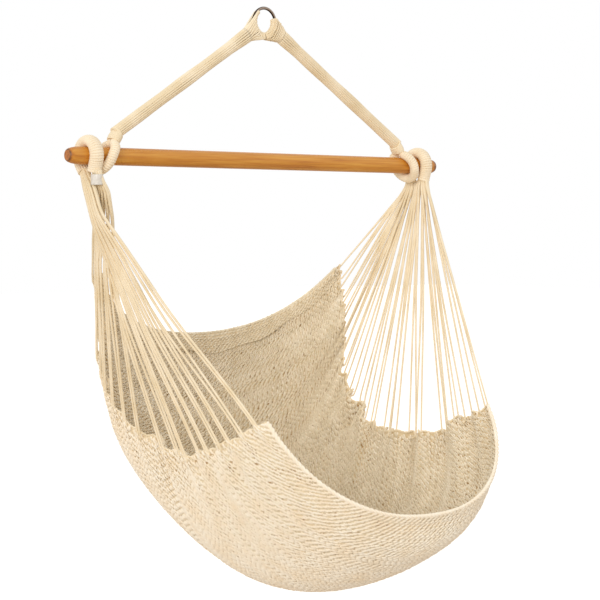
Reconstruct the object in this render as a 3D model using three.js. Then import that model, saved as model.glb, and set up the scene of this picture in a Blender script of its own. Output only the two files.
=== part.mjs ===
// Hammock chair
// A woven cotton bed hangs by two fans of cords from the ends of a wooden spreader bar, and the bar
// hangs by two cord legs from one steel ring.
// Millimetres. X runs along the bar, the chair faces -Y, Z is up.
// The origin is the hang point, on the inside of the ring at its top.

import * as THREE from 'three';

// Clearance between pieces that touch, and between cloth and the cords that pass it
const GAP = 0.3;
const CORD_CLEARANCE = 0.8;

// Hang ring: a closed ring of round steel wire that stands in the plane of the bar
const RING_RADIUS = 31.5;
const WIRE_RADIUS = 3.5;
const RING_STEPS = 36;
const WIRE_SIDES = 8;

// Spreader bar: a turned dowel with blunt tapered ends
const BAR_LENGTH = 1067;
const BAR_RADIUS = 19;
const BAR_DROP = 344;
const TIP_LENGTH = 33;
const TIP_RADIUS = 12.5;
const BAR_SIDES = 24;
// Places along the tapered tip, from its end, and how much of the taper is gained there
const TIP_PLACE_SHARES = [0, 0.04, 0.14, 0.36, 0.66, 1];
const TIP_RISE_SHARES = [-0.25, 0.1, 0.38, 0.7, 0.93, 1];

// Ring eyes: the top of each leg folded over the ring as a fan of strands
const THROAT_TILT_DEG = -27;
const FAN_LOW_DEG = -84;
const FAN_TOP_DEG = { left: 36, right: 16 };
const FAN_THICKNESS = 5;
const FAN_CLEARANCE = 0.6;
const FAN_STRANDS = 6;
const STRAND_RELIEF = 0.9;
const THROAT_REACH = 24.2;
// Share of the fan's path on each face of the ring, and how far the throat's section is rounded
const STRAIGHT_SHARE = 0.36;
const ROUND_SHARE = 0.86;
const FAN_STRAIGHT_STEPS = 4;
const FAN_TURN_STEPS = 5;

// Suspension legs: bundles of parallel strands
const LEG_RADIUS = 12.4;
const LEG_STRANDS = 9;
const LEG_FLUTE = 1.5;
const FLUTE_POINTS = 3;

// Bar loops: the whipped lower end of each leg, passed slantwise round the bar
const LOOP_RADIUS = 9.5;
const LOOP_GROOVE = 1;
const LOOP_RIBS = 22;
const LOOP_SLANT_DEG = 32;
const LOOP_REACH = 53;
const LOOP_TO_EYE = 2;
const LOOP_CLEARANCE = 0.7;
// How high the loop's sides are still parallel, as a share of the height where they begin to part
const LOOP_EASE_SHARE = 0.8;
const ROPE_SIDES = 8;

// Seizings: the binding where each leg splits into its bar loop
const SEIZING_WALL = 3;
const SEIZING_SLEEVE = 17;
const SEIZING_CROWN = 12;
const SEIZING_GROOVE = 0.9;
const SEIZING_RIBS = 3;
const SEIZING_SIDES = 16;
// How much wider than one rope the bore is, along the bar, so that the slanted loop clears it
const SEIZING_BORE_SHARE = 1.6;

// Hammock eyes: the thick whipped loops that carry the fans, over the bar outside the bar loops
const EYE_INSET = 53.5;
const EYE_RADIUS = 14.5;
const EYE_GROOVE = 1.1;
const EYE_RIBS = 20;
const EYE_CLEARANCE = 0.8;
const EYE_WRAP_DEG = 220;
const EYE_LEG = 24;

// Neck band: a plain tape round the front bundle of cords, just below the left eye
const BAND_LENGTH = 22;
const BAND_WALL = 1.2;
const BAND_BELOW_EYE = 1.2;
const BAND_SIDES = 20;

// Arm cords: each is doubled, from the eye, through an eyelet of the bed, and back
const CORDS_PER_SIDE = 20;
const CORD_RADIUS = 1.7;
const CORD_PITCH = 4.4;
const CORD_SIDES = 5;
const CORD_TURN_STEPS = 5;
const NECK_LENGTH = 26;
// Drops below the bar between which the left fan's two bundles pass each other
const CROSSING_DROPS = [84, 152];
// Where the cords of one bundle stand in the neck, in pitches: across the bar, then along it
const NECK_ROW_SHARES = [2.5, 1.5, 1.5, 0.5, 0.5, -0.5, -0.5, -1.5, -1.5, -2.5];
const NECK_COLUMN_SHARES = [0, -1, 1, -1, 1, -1, 1, -1, 1, 0];

// Woven bed: stations from the back edge to the front edge, each in a plane through the bar
const BED_DROP = 964;
const EDGE_DROP = 673;
const EDGE_HALF_WIDTH = 357;
const BED_THICKNESS = 6;
const STATION_SHARES = [0, 0.2, 0.4, 0.6, 0.8, 1];
const STATION_LEANS_DEG = [31.6, 20.6, 12.3, -6, -28.7, -36];
const BED_DROP_SHARES = [0.492, 0.66, 0.804, 0.98, 1, 0.953];
const EDGE_DROP_SHARES = [0.421, 0.553, 0.788, 0.935, 0.978, 1];
const EDGE_WIDTH_SHARES = [1, 1.005, 0.988, 0.884, 0.932, 0.902];
const FAN_POINT_DROP = 60;
const BED_COLUMNS = 9;
// Steps that the woven edge is measured in, and the step of u or v that a slope is taken over
const EDGE_SAMPLES = 200;
const SLOPE_SHARE = 1e-3;

// Side edges of the bed: scallops drawn out at each cord, with an eyelet behind the border
const BORDER_WIDTH = 8;
const EYELET_LENGTH = 10;
const EYELET_WIDTH = 8;
const SCALLOP_OUT = 4;
const SCALLOP_IN = 9;
const PLEAT_DEPTH = 6;
const GATHER_WIDTH = 52;

// Front edge cord and the flap folded in along the back edge
const EDGE_CORD_RADIUS = 4;
const EDGE_CORD_SIDES = 6;
const HEM_SHARE = 0.92;
const HEM_THICKNESS = 5;
const HEM_LIFT = 9;

// Finishes
const steel = finish(0x5a4a3c, 0.35, 0.9);
const varnishedWood = finish(0xc98a3e, 0.4, 0);
const cottonCord = finish(0xf0dfc0, 0.9, 0);
const wovenCotton = finish(0xeddcbd, 0.95, 0);
const clearTape = finish(0xe9e9e4, 0.3, 0);

function finish(color, roughness, metalness) {
  return new THREE.MeshStandardMaterial({ color, roughness, metalness });
}

// Places worked out from the sizes above
const RING_Z = WIRE_RADIUS - RING_RADIUS;
const EYE_X = BAR_LENGTH / 2 - EYE_INSET;
const EYE_PATH_RADIUS = BAR_RADIUS + EYE_CLEARANCE + EYE_RADIUS;
const EYE_TURN = THREE.MathUtils.degToRad(EYE_WRAP_DEG - 180) / 2;
const LOOP_SLANT = THREE.MathUtils.degToRad(LOOP_SLANT_DEG);
const LOOP_SIDE = BAR_RADIUS + LOOP_CLEARANCE + LOOP_RADIUS;
const LOOP_LOW = LOOP_SIDE / Math.cos(LOOP_SLANT);
const LOOP_X = EYE_X - EYE_RADIUS - LOOP_TO_EYE - LOOP_LOW * Math.sin(LOOP_SLANT)
  - LOOP_RADIUS * Math.cos(LOOP_SLANT);
const NECK_OUTER = Math.hypot(Math.max(...NECK_ROW_SHARES), 1 / 2) * CORD_PITCH + CORD_RADIUS;
// Half of the room that one bundle takes: along the bar, then across it
const BUNDLE_HALF_X = (Math.max(...NECK_COLUMN_SHARES) + 1 / 2) * CORD_PITCH + CORD_RADIUS + GAP;
const BUNDLE_HALF_Y = Math.max(...NECK_ROW_SHARES) * CORD_PITCH + CORD_RADIUS + GAP;

const chair = new THREE.Group();
chair.name = 'hammock_chair';

function add(name, geometry, material) {
  const mesh = new THREE.Mesh(geometry, material);
  mesh.name = name;
  chair.add(mesh);
}

function vector(x, y, z) {
  return new THREE.Vector3(x, y, z);
}

// A closed body from vertices and triangles, turned so that its faces point out
function closedBody(vertices, triangles) {
  let volume = 0;
  for (const [a, b, c] of triangles) {
    volume += vertices[a].dot(vertices[b].clone().cross(vertices[c]));
  }
  const faces = volume < 0 ? triangles.map(([a, b, c]) => [a, c, b]) : triangles;
  const geometry = new THREE.BufferGeometry();
  geometry.setAttribute('position',
    new THREE.Float32BufferAttribute(vertices.flatMap((p) => [p.x, p.y, p.z]), 3));
  geometry.setIndex(faces.flat());
  geometry.computeVertexNormals();
  return geometry;
}

// A ring's own flat face as triangles, in the order of its points
function capTriangles(ring) {
  const normal = vector(0, 0, 0);
  ring.forEach((p, i) => normal.add(p.clone().cross(ring[(i + 1) % ring.length])));
  const across = ring[1].clone().sub(ring[0]).normalize();
  const up = normal.normalize().cross(across);
  const outline = ring.map((p) => new THREE.Vector2(p.dot(across), p.dot(up)));
  return THREE.ShapeUtils.triangulateShape(outline, []);
}

// A skin over a row of rings with equal point counts: closed on itself, or with flat caps
function skin(rings, joined = false) {
  const sides = rings[0].length;
  const triangles = [];
  const last = joined ? rings.length : rings.length - 1;
  for (let i = 0; i < last; i += 1) {
    const here = i * sides;
    const next = ((i + 1) % rings.length) * sides;
    for (let j = 0; j < sides; j += 1) {
      const k = (j + 1) % sides;
      triangles.push([here + j, next + j, next + k], [here + j, next + k, here + k]);
    }
  }
  if (!joined) {
    const end = (rings.length - 1) * sides;
    triangles.push(...capTriangles(rings[0]));
    for (const [a, b, c] of capTriangles(rings[rings.length - 1])) {
      triangles.push([end + a, end + c, end + b]);
    }
  }
  return closedBody(rings.flat(), triangles);
}

// A ring of points round a centre, in the plane of two directions
function ringOf(centre, across, up, sides, radiusAt) {
  return Array.from({ length: sides }, (_, j) => {
    const angle = (2 * Math.PI * j) / sides;
    const radius = radiusAt(angle);
    return centre.clone().addScaledVector(across, radius * Math.cos(angle))
      .addScaledVector(up, radius * Math.sin(angle));
  });
}

// Rings along a path. The section stays square to the path and keeps one side facing a fixed way.
function ringsAlong(points, facing, sides, radiusAt) {
  return points.map((point, i) => {
    const before = points[Math.max(i - 1, 0)];
    const after = points[Math.min(i + 1, points.length - 1)];
    const along = after.clone().sub(point).normalize().add(point.clone().sub(before).normalize())
      .normalize();
    const across = facing.clone().addScaledVector(along, -facing.dot(along)).normalize();
    const up = along.clone().cross(across);
    return ringOf(point, across, up, sides, (angle) => radiusAt(i, angle));
  });
}

function lerp(a, b, share) {
  return a + (b - a) * share;
}

function smooth(share) {
  const s = Math.min(Math.max(share, 0), 1);
  return s * s * (3 - 2 * s);
}

// Hang ring

function ringPoint(angle) {
  return vector(RING_RADIUS * Math.cos(angle), 0, RING_Z + RING_RADIUS * Math.sin(angle));
}

function radial(angle) {
  return vector(Math.cos(angle), 0, Math.sin(angle));
}

function hangRing() {
  const rings = Array.from({ length: RING_STEPS }, (_, i) => {
    const angle = (2 * Math.PI * i) / RING_STEPS;
    return ringOf(ringPoint(angle), radial(angle), vector(0, 1, 0), WIRE_SIDES, () => WIRE_RADIUS);
  });
  return skin(rings, true);
}

// Spreader bar

function spreaderBar() {
  const rise = BAR_RADIUS - TIP_RADIUS;
  const tip = TIP_PLACE_SHARES.map((place, i) => new THREE.Vector2(
    TIP_RADIUS + rise * TIP_RISE_SHARES[i], place * TIP_LENGTH - BAR_LENGTH / 2));
  const far = tip.map((p) => new THREE.Vector2(p.x, -p.y)).reverse();
  const ends = [new THREE.Vector2(0, -BAR_LENGTH / 2), new THREE.Vector2(0, BAR_LENGTH / 2)];
  const profile = [ends[0], ...tip, ...far, ends[1]];
  const rings = profile.slice(1, -1).map((p) => ringOf(vector(p.y, 0, -BAR_DROP), vector(0, 1, 0),
    vector(0, 0, 1), BAR_SIDES, () => p.x));
  return skin(rings);
}

// Suspension: frame of one side. Out is away from the middle of the bar.

function throatCentre(side) {
  const angle = THREE.MathUtils.degToRad(THROAT_TILT_DEG);
  const reach = RING_RADIUS + THROAT_REACH;
  return vector(side * reach * Math.cos(angle), 0, RING_Z + reach * Math.sin(angle));
}

// Direction up the slanted bar loop, towards the ring
function loopUp(side) {
  return vector(-side * Math.sin(LOOP_SLANT), 0, Math.cos(LOOP_SLANT));
}

function loopPlace(side, y, up) {
  return vector(side * LOOP_X, y, -BAR_DROP).addScaledVector(loopUp(side), up);
}

function seizingTop(side) {
  return loopPlace(side, 0, LOOP_REACH + GAP + SEIZING_CROWN);
}

function legDirection(side) {
  return throatCentre(side).sub(seizingTop(side)).normalize();
}

// One place on the fan of strands: across the fan from -1 to 1, along it from the front of the
// throat, over the wire, to the back of the throat, and on its inner or outer face.
function fanPlace(side, across, along, outer) {
  const direction = legDirection(side);
  const edgeways = vector(-direction.z, 0, direction.x).multiplyScalar(side);
  const top = side < 0 ? FAN_TOP_DEG.left : FAN_TOP_DEG.right;
  const angle = THREE.MathUtils.degToRad(lerp(FAN_LOW_DEG, top, (across + 1) / 2));
  const outward = vector(side * Math.cos(angle), 0, Math.sin(angle));
  const wire = vector(0, 0, RING_Z).addScaledVector(outward, RING_RADIUS);
  const throat = throatCentre(side).addScaledVector(edgeways, across * LEG_RADIUS);
  const approach = wire.clone().addScaledVector(outward, THROAT_REACH / 2);
  const face = along < 1 / 2 ? -1 : 1;
  const share = Math.min(1, (along < 1 / 2 ? along : 1 - along) / STRAIGHT_SHARE);
  const ridge = STRAND_RELIEF * Math.abs(Math.cos(across * Math.PI * FAN_STRANDS / 2));
  const inner = WIRE_RADIUS + FAN_CLEARANCE;
  const depth = inner + (outer ? FAN_THICKNESS - STRAND_RELIEF + ridge : 0);
  if (share < 1) {
    const flat = new THREE.QuadraticBezierCurve3(throat, approach, wire).getPoint(share);
    const round = (LEG_RADIUS - GAP) * Math.sqrt(1 - across * across * ROUND_SHARE);
    const throatDepth = GAP + (outer ? round - STRAND_RELIEF + ridge : 0);
    flat.y = face * lerp(throatDepth, depth, smooth(share));
    return flat;
  }
  const turn = Math.PI * (along - STRAIGHT_SHARE) / (1 - 2 * STRAIGHT_SHARE);
  return wire.clone().addScaledVector(outward, -depth * Math.sin(turn))
    .setY(-depth * Math.cos(turn));
}

function fanSteps() {
  const steps = [];
  for (let i = 0; i < FAN_STRAIGHT_STEPS; i += 1) {
    steps.push(STRAIGHT_SHARE * i / FAN_STRAIGHT_STEPS);
  }
  for (let i = 0; i <= FAN_TURN_STEPS; i += 1) {
    steps.push(lerp(STRAIGHT_SHARE, 1 - STRAIGHT_SHARE, i / FAN_TURN_STEPS));
  }
  for (let i = FAN_STRAIGHT_STEPS - 1; i >= 0; i -= 1) {
    steps.push(1 - STRAIGHT_SHARE * i / FAN_STRAIGHT_STEPS);
  }
  return steps;
}

function ringEye(side) {
  const count = 2 * FAN_STRANDS;
  const rings = fanSteps().map((along) => {
    const ring = [];
    for (let i = 0; i <= count; i += 1) {
      ring.push(fanPlace(side, 2 * i / count - 1, along, true));
    }
    for (let i = FAN_STRANDS; i >= 0; i -= 1) {
      ring.push(fanPlace(side, 2 * i / FAN_STRANDS - 1, along, false));
    }
    return ring;
  });
  return skin(rings);
}

function suspensionLeg(side) {
  const direction = legDirection(side);
  const top = throatCentre(side).addScaledVector(direction, -GAP);
  const low = seizingTop(side).addScaledVector(direction, GAP);
  const across = vector(0, 1, 0);
  const up = direction.clone().cross(across);
  const ridge = (angle) => Math.abs(Math.cos(angle * LEG_STRANDS / 2));
  const fluted = (angle) => LEG_RADIUS - LEG_FLUTE * (1 - ridge(angle));
  const rings = [low, top].map((p) => ringOf(p, across, up, FLUTE_POINTS * LEG_STRANDS, fluted));
  return skin(rings);
}

// Centre line of a bar loop in its own plane: down the front, under the bar, up the back
function loopPath() {
  const straight = 2 * LOOP_RADIUS;
  const beside = LOOP_RADIUS + GAP;
  const path = new THREE.CurvePath();
  const sideTop = new THREE.Vector2(-LOOP_SIDE, 0);
  const neck = new THREE.Vector2(-beside, LOOP_REACH - straight);
  path.add(new THREE.LineCurve(new THREE.Vector2(-beside, LOOP_REACH), neck));
  const ease = LOOP_EASE_SHARE * neck.y;
  path.add(new THREE.CubicBezierCurve(neck, new THREE.Vector2(-beside, ease),
    new THREE.Vector2(-LOOP_SIDE, LOOP_SIDE), sideTop));
  path.add(new THREE.EllipseCurve(0, 0, LOOP_SIDE, LOOP_LOW, Math.PI, 2 * Math.PI));
  path.add(new THREE.CubicBezierCurve(sideTop.clone().setX(LOOP_SIDE),
    new THREE.Vector2(LOOP_SIDE, LOOP_SIDE), new THREE.Vector2(beside, ease),
    neck.clone().setX(beside)));
  path.add(new THREE.LineCurve(neck.clone().setX(beside), new THREE.Vector2(beside, LOOP_REACH)));
  return path;
}

// Stops along a whipped tube: plain ends, then a crest and a groove for each rib between them
function whippingStops(length, plain, ribs) {
  const stops = [{ at: 0, crest: true }];
  for (let i = 0; i < ribs; i += 1) {
    const start = lerp(plain, length - plain, i / ribs);
    const pitch = (length - 2 * plain) / ribs;
    stops.push({ at: start, crest: false }, { at: start + pitch / 2, crest: true });
  }
  stops.push({ at: length - plain, crest: false }, { at: length, crest: true });
  return stops;
}

function barLoop(side) {
  const path = loopPath();
  const length = path.getLength();
  const stops = whippingStops(length, 2 * LOOP_RADIUS, LOOP_RIBS);
  const points = stops.map(({ at }) => {
    const p = path.getPointAt(at / length);
    return loopPlace(side, p.x, p.y);
  });
  const facing = vector(Math.cos(LOOP_SLANT), 0, side * Math.sin(LOOP_SLANT));
  const radiusAt = (i) => LOOP_RADIUS - (stops[i].crest ? 0 : LOOP_GROOVE);
  return skin(ringsAlong(points, facing, ROPE_SIDES, radiusAt));
}

// An oval ring square to a direction: long way along Y
function ovalRing(centre, direction, halfLong, halfShort) {
  const short = direction.clone().cross(vector(0, 1, 0));
  return Array.from({ length: SEIZING_SIDES }, (_, j) => {
    const angle = (2 * Math.PI * j) / SEIZING_SIDES;
    return centre.clone().add(vector(0, halfLong * Math.cos(angle), 0))
      .addScaledVector(short, halfShort * Math.sin(angle));
  });
}

// The seizing is a sleeve over both ends of the bar loop that closes to the round of the leg
function seizing(side) {
  const up = loopUp(side);
  const facet = Math.cos(Math.PI / SEIZING_SIDES);
  const boreLong = (2 * LOOP_RADIUS + GAP) / facet + GAP;
  const boreShort = SEIZING_BORE_SHARE * (LOOP_RADIUS / facet + GAP);
  const mouth = LOOP_REACH - SEIZING_SLEEVE;
  const floor = LOOP_REACH + GAP;
  const rings = [ovalRing(loopPlace(side, 0, floor), up, boreLong, boreShort)];
  rings.push(ovalRing(loopPlace(side, 0, mouth), up, boreLong, boreShort));
  for (let i = 0; i <= 2 * SEIZING_RIBS; i += 1) {
    const wall = SEIZING_WALL - (i % 2 === 0 ? SEIZING_GROOVE : 0);
    const place = loopPlace(side, 0, lerp(mouth, floor, i / (2 * SEIZING_RIBS)));
    rings.push(ovalRing(place, up, boreLong + wall, boreShort + wall));
  }
  const collar = LEG_RADIUS + SEIZING_WALL / 2;
  rings.push(ovalRing(seizingTop(side), legDirection(side), collar, collar));
  return skin(rings);
}

// Hammock eyes

// Centre line of an eye in the plane square to the bar: up the front, over the bar, down the back
function eyePath() {
  const path = new THREE.CurvePath();
  const bend = (angle) => vector(0, -Math.cos(angle), Math.sin(angle)).multiplyScalar(EYE_PATH_RADIUS);
  const front = bend(-EYE_TURN);
  const down = vector(0, Math.sin(EYE_TURN), -Math.cos(EYE_TURN));
  const frontEnd = front.clone().addScaledVector(down, EYE_LEG);
  const mirror = (p) => p.clone().setY(-p.y);
  path.add(new THREE.LineCurve3(frontEnd, front));
  const turnAt = (i) => lerp(-EYE_TURN, Math.PI + EYE_TURN, i / EYE_RIBS);
  for (let i = 0; i < EYE_RIBS; i += 1) {
    path.add(new THREE.LineCurve3(bend(turnAt(i)), bend(turnAt(i + 1))));
  }
  path.add(new THREE.LineCurve3(mirror(front), mirror(frontEnd)));
  return path;
}

function eyeEnd(side, bundle) {
  const end = eyePath().getPoint(0);
  return vector(side * EYE_X, -bundle * end.y, end.z - BAR_DROP);
}

function hammockEye(side) {
  const path = eyePath();
  const length = path.getLength();
  const stops = whippingStops(length, 2 * EYE_RADIUS, EYE_RIBS);
  const points = stops.map(({ at }) => {
    const p = path.getPointAt(at / length);
    return vector(side * EYE_X, p.y, p.z - BAR_DROP);
  });
  const radiusAt = (i) => EYE_RADIUS - (stops[i].crest ? 0 : EYE_GROOVE);
  return skin(ringsAlong(points, vector(1, 0, 0), ROPE_SIDES, radiusAt));
}

function bandTop(side) {
  const end = eyeEnd(side, -1);
  return end.z - EYE_RADIUS * Math.sin(EYE_TURN) - BAND_BELOW_EYE;
}

function neckBand(side) {
  const inner = NECK_OUTER / Math.cos(Math.PI / BAND_SIDES) + GAP;
  const end = eyeEnd(side, -1);
  const top = bandTop(side);
  const ring = (z, radius) => ringOf(vector(end.x, end.y, z), vector(1, 0, 0), vector(0, 1, 0),
    BAND_SIDES, () => radius);
  const low = top - BAND_LENGTH;
  return skin([ring(top, inner), ring(top, inner + BAND_WALL), ring(low, inner + BAND_WALL),
    ring(low, inner)], true);
}

// Woven bed

// A smooth value between stations
function stationValue(values, v) {
  const count = STATION_SHARES.length;
  let i = 0;
  while (i < count - 2 && v > STATION_SHARES[i + 1]) i += 1;
  const slope = (k) => {
    const a = Math.max(k - 1, 0);
    const b = Math.min(k + 1, count - 1);
    return (values[b] - values[a]) / (STATION_SHARES[b] - STATION_SHARES[a]);
  };
  const span = STATION_SHARES[i + 1] - STATION_SHARES[i];
  const t = (v - STATION_SHARES[i]) / span;
  const near = (1 + 2 * t) * (1 - t) * (1 - t) * values[i] + t * (1 - t) * (1 - t) * span * slope(i);
  return near + t * t * (3 - 2 * t) * values[i + 1] - t * t * (1 - t) * span * slope(i + 1);
}

// Section of the bed at a station: half of a slack curve from the middle to the woven edge
function station(v) {
  const lean = THREE.MathUtils.degToRad(stationValue(STATION_LEANS_DEG, v));
  const middle = BED_DROP * stationValue(BED_DROP_SHARES, v);
  const edge = EDGE_DROP * stationValue(EDGE_DROP_SHARES, v);
  const half = EDGE_HALF_WIDTH * stationValue(EDGE_WIDTH_SHARES, v);
  const fullness = 1 - (middle - edge) * (EYE_X - half) / ((edge - FAN_POINT_DROP) * half);
  return { lean, middle, edge, half, fullness };
}

function inStation(s, x, drop) {
  return vector(x, drop * Math.sin(s.lean), -BAR_DROP - drop * Math.cos(s.lean));
}

// A place on the middle surface of the bed: u from -1 to 1 across, v from back to front
function bedPlace(u, v) {
  const s = station(v);
  const t = Math.abs(u);
  const x = Math.sign(u) * s.half * (2 * t * (1 - t) * s.fullness + t * t);
  return inStation(s, x, lerp(s.middle, s.edge, t * t));
}

// Outward normal of the bed, away from the sitter
function bedNormal(u, v) {
  const v0 = Math.max(v - SLOPE_SHARE, 0);
  const v1 = Math.min(v + SLOPE_SHARE, 1);
  const u0 = Math.max(u - SLOPE_SHARE, -1);
  const u1 = Math.min(u + SLOPE_SHARE, 1);
  const alongV = bedPlace(u, v1).sub(bedPlace(u, v0));
  const alongU = bedPlace(u1, v).sub(bedPlace(u0, v));
  const normal = alongU.cross(alongV).normalize();
  const away = bedPlace(u, v).sub(vector(0, 0, -BAR_DROP)).setX(0);
  return normal.dot(away) < 0 ? normal.negate() : normal;
}

// Stations spread evenly along the woven edge
const edgeRun = [0];
for (let i = 1; i <= EDGE_SAMPLES; i += 1) {
  const step = bedPlace(1, i / EDGE_SAMPLES).distanceTo(bedPlace(1, (i - 1) / EDGE_SAMPLES));
  edgeRun.push(edgeRun[i - 1] + step);
}
const EDGE_LENGTH = edgeRun[EDGE_SAMPLES];

function stationAt(share) {
  const wanted = Math.min(Math.max(share, 0), 1) * EDGE_LENGTH;
  let i = 1;
  while (i < EDGE_SAMPLES && edgeRun[i] < wanted) i += 1;
  const part = (wanted - edgeRun[i - 1]) / (edgeRun[i] - edgeRun[i - 1]);
  return (i - 1 + part) / EDGE_SAMPLES;
}

// The frame of the woven edge: its place, the pull towards the fan point, and the outward normal
function edgeFrame(side, share) {
  const v = stationAt(share);
  const s = station(v);
  const place = bedPlace(side, v);
  const fanPoint = inStation(s, side * EYE_X, FAN_POINT_DROP);
  const pull = fanPoint.sub(place).normalize();
  const normal = bedNormal(side, v);
  normal.addScaledVector(pull, -normal.dot(pull)).normalize();
  return { place, pull, normal };
}

// Lines across the bed. Fine lines run in the side borders: one between cords, then two beside
// each cord. Every third one is a coarse line and crosses the whole bed.
function fineLines() {
  const lines = [{ share: 0, valley: true }];
  for (let i = 0; i < CORDS_PER_SIDE; i += 1) {
    const middle = cordShare(i);
    const half = EYELET_WIDTH / 2 / EDGE_LENGTH;
    lines.push({ share: middle - half, valley: false }, { share: middle + half, valley: false });
    lines.push({ share: (i + 1) / CORDS_PER_SIDE, valley: true });
  }
  return lines;
}

function cordShare(index) {
  return (index + 1 / 2) / CORDS_PER_SIDE;
}

// Middle surface and normal at a column and a line. Columns 0 to 2 are the gathered side border.
function borderPlace(side, column, line) {
  const { place, pull, normal } = edgeFrame(side, line.share);
  const outer = line.valley ? SCALLOP_IN - SCALLOP_OUT : -SCALLOP_OUT;
  const inward = [outer, BORDER_WIDTH, BORDER_WIDTH + EYELET_LENGTH][column];
  const pleat = line.valley ? -PLEAT_DEPTH : PLEAT_DEPTH;
  const middle = place.addScaledVector(pull, -inward).addScaledVector(normal, pleat);
  return { middle, normal };
}

function fieldPlace(column, line) {
  const v = stationAt(line.share);
  const s = station(v);
  const endSpeed = 2 * Math.hypot(s.half * (1 - s.fullness), s.middle - s.edge);
  const limit = 1 - GATHER_WIDTH / endSpeed;
  const u = lerp(-limit, limit, column / BED_COLUMNS);
  const normal = bedNormal(u, v);
  return { middle: bedPlace(u, v), normal };
}

function wovenBed() {
  const lines = fineLines();
  const coarse = lines.filter((_, i) => i % 3 === 0);
  const vertices = [];
  const triangles = [];
  const put = ({ middle, normal }) => {
    vertices.push(middle.clone().addScaledVector(normal, BED_THICKNESS / 2));
    vertices.push(middle.clone().addScaledVector(normal, -BED_THICKNESS / 2));
    return vertices.length - 2;
  };
  const border = [-1, 1].map((side) => [0, 1, 2].map((column) => lines.map(
    (line) => put(borderPlace(side, column, line)))));
  const field = Array.from({ length: BED_COLUMNS + 1 }, (_, column) => coarse.map(
    (line) => put(fieldPlace(column, line))));

  const both = (a, b, c) => triangles.push([a, b, c], [a + 1, c + 1, b + 1]);
  const cell = (a, b, c, d) => {
    both(a, b, c);
    both(a, c, d);
  };
  const wall = (a, b) => triangles.push([a, a + 1, b + 1], [a, b + 1, b]);

  border.forEach((columns, sideIndex) => {
    const [outer, middle, inner] = columns;
    const flip = sideIndex === 1;
    const quad = (a, b, c, d) => (flip ? cell(d, c, b, a) : cell(a, b, c, d));
    const side = (a, b) => (flip ? wall(b, a) : wall(a, b));
    for (let j = 0; j < lines.length - 1; j += 1) {
      quad(outer[j], middle[j], middle[j + 1], outer[j + 1]);
      side(outer[j + 1], outer[j]);
      if (j % 3 === 1) {
        side(middle[j], middle[j + 1]);
        side(middle[j + 1], inner[j + 1]);
        side(inner[j + 1], inner[j]);
        side(inner[j], middle[j]);
      } else {
        quad(middle[j], inner[j], inner[j + 1], middle[j + 1]);
      }
    }
    const next = field[flip ? BED_COLUMNS : 0];
    const tri = (a, b, c) => (flip ? both(c, b, a) : both(a, b, c));
    for (let i = 0; i < coarse.length - 1; i += 1) {
      const [p, q, r, s] = [0, 1, 2, 3].map((k) => inner[3 * i + k]);
      tri(next[i], next[i + 1], r);
      tri(next[i + 1], s, r);
      tri(next[i], r, q);
      tri(next[i], q, p);
    }
    const end = lines.length - 1;
    side(outer[0], middle[0]);
    side(middle[0], inner[0]);
    side(inner[0], next[0]);
    side(middle[end], outer[end]);
    side(inner[end], middle[end]);
    side(next[coarse.length - 1], inner[end]);
  });
  for (let c = 0; c < BED_COLUMNS; c += 1) {
    for (let i = 0; i < coarse.length - 1; i += 1) {
      cell(field[c][i], field[c + 1][i], field[c + 1][i + 1], field[c][i + 1]);
    }
    wall(field[c][0], field[c + 1][0]);
    wall(field[c + 1][coarse.length - 1], field[c][coarse.length - 1]);
  }
  return closedBody(vertices, triangles);
}

// Front edge cord, laid along the front end of the bed from border to border

function frontLinePlaces() {
  const end = { share: 1, valley: true };
  const left = [0, 1, 2].map((column) => borderPlace(-1, column, end));
  const right = [2, 1, 0].map((column) => borderPlace(1, column, end));
  const field = Array.from({ length: BED_COLUMNS + 1 }, (_, column) => fieldPlace(column, end));
  return [...left, ...field, ...right];
}

function frontEdgeCord() {
  const places = frontLinePlaces();
  const points = places.map(({ middle, normal }, i) => {
    const along = places[Math.min(i + 1, places.length - 1)].middle.clone()
      .sub(places[Math.max(i - 1, 0)].middle).normalize();
    const forward = normal.clone().cross(along).normalize();
    return middle.clone().addScaledVector(forward, EDGE_CORD_RADIUS + CORD_CLEARANCE);
  });
  const facing = vector(0, -1, 1).normalize();
  return skin(ringsAlong(points, facing, EDGE_CORD_SIDES, () => EDGE_CORD_RADIUS));
}

// Back hem: the flap turned in over the back edge, standing off the bed at its free edge

function backHem() {
  const first = { share: 0, valley: true };
  const second = { share: 1 / CORDS_PER_SIDE, valley: true };
  const rings = Array.from({ length: BED_COLUMNS + 1 }, (_, column) => {
    const top = fieldPlace(column, first);
    const low = fieldPlace(column, second);
    const swell = Math.sin(Math.PI * column / BED_COLUMNS);
    return [[0, 0], [0.5, 0], [1, 0], [1, 1], [0.5, 1], [0, 1]].map(([down, far]) => {
      const middle = top.middle.clone().lerp(low.middle, down * HEM_SHARE);
      const normal = top.normal.clone().lerp(low.normal, down * HEM_SHARE).normalize();
      const lift = BED_THICKNESS / 2 + CORD_CLEARANCE + HEM_LIFT * down * down * swell;
      return middle.addScaledVector(normal, -(lift + far * HEM_THICKNESS));
    });
  });
  return skin(rings);
}

// Arm cords

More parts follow.
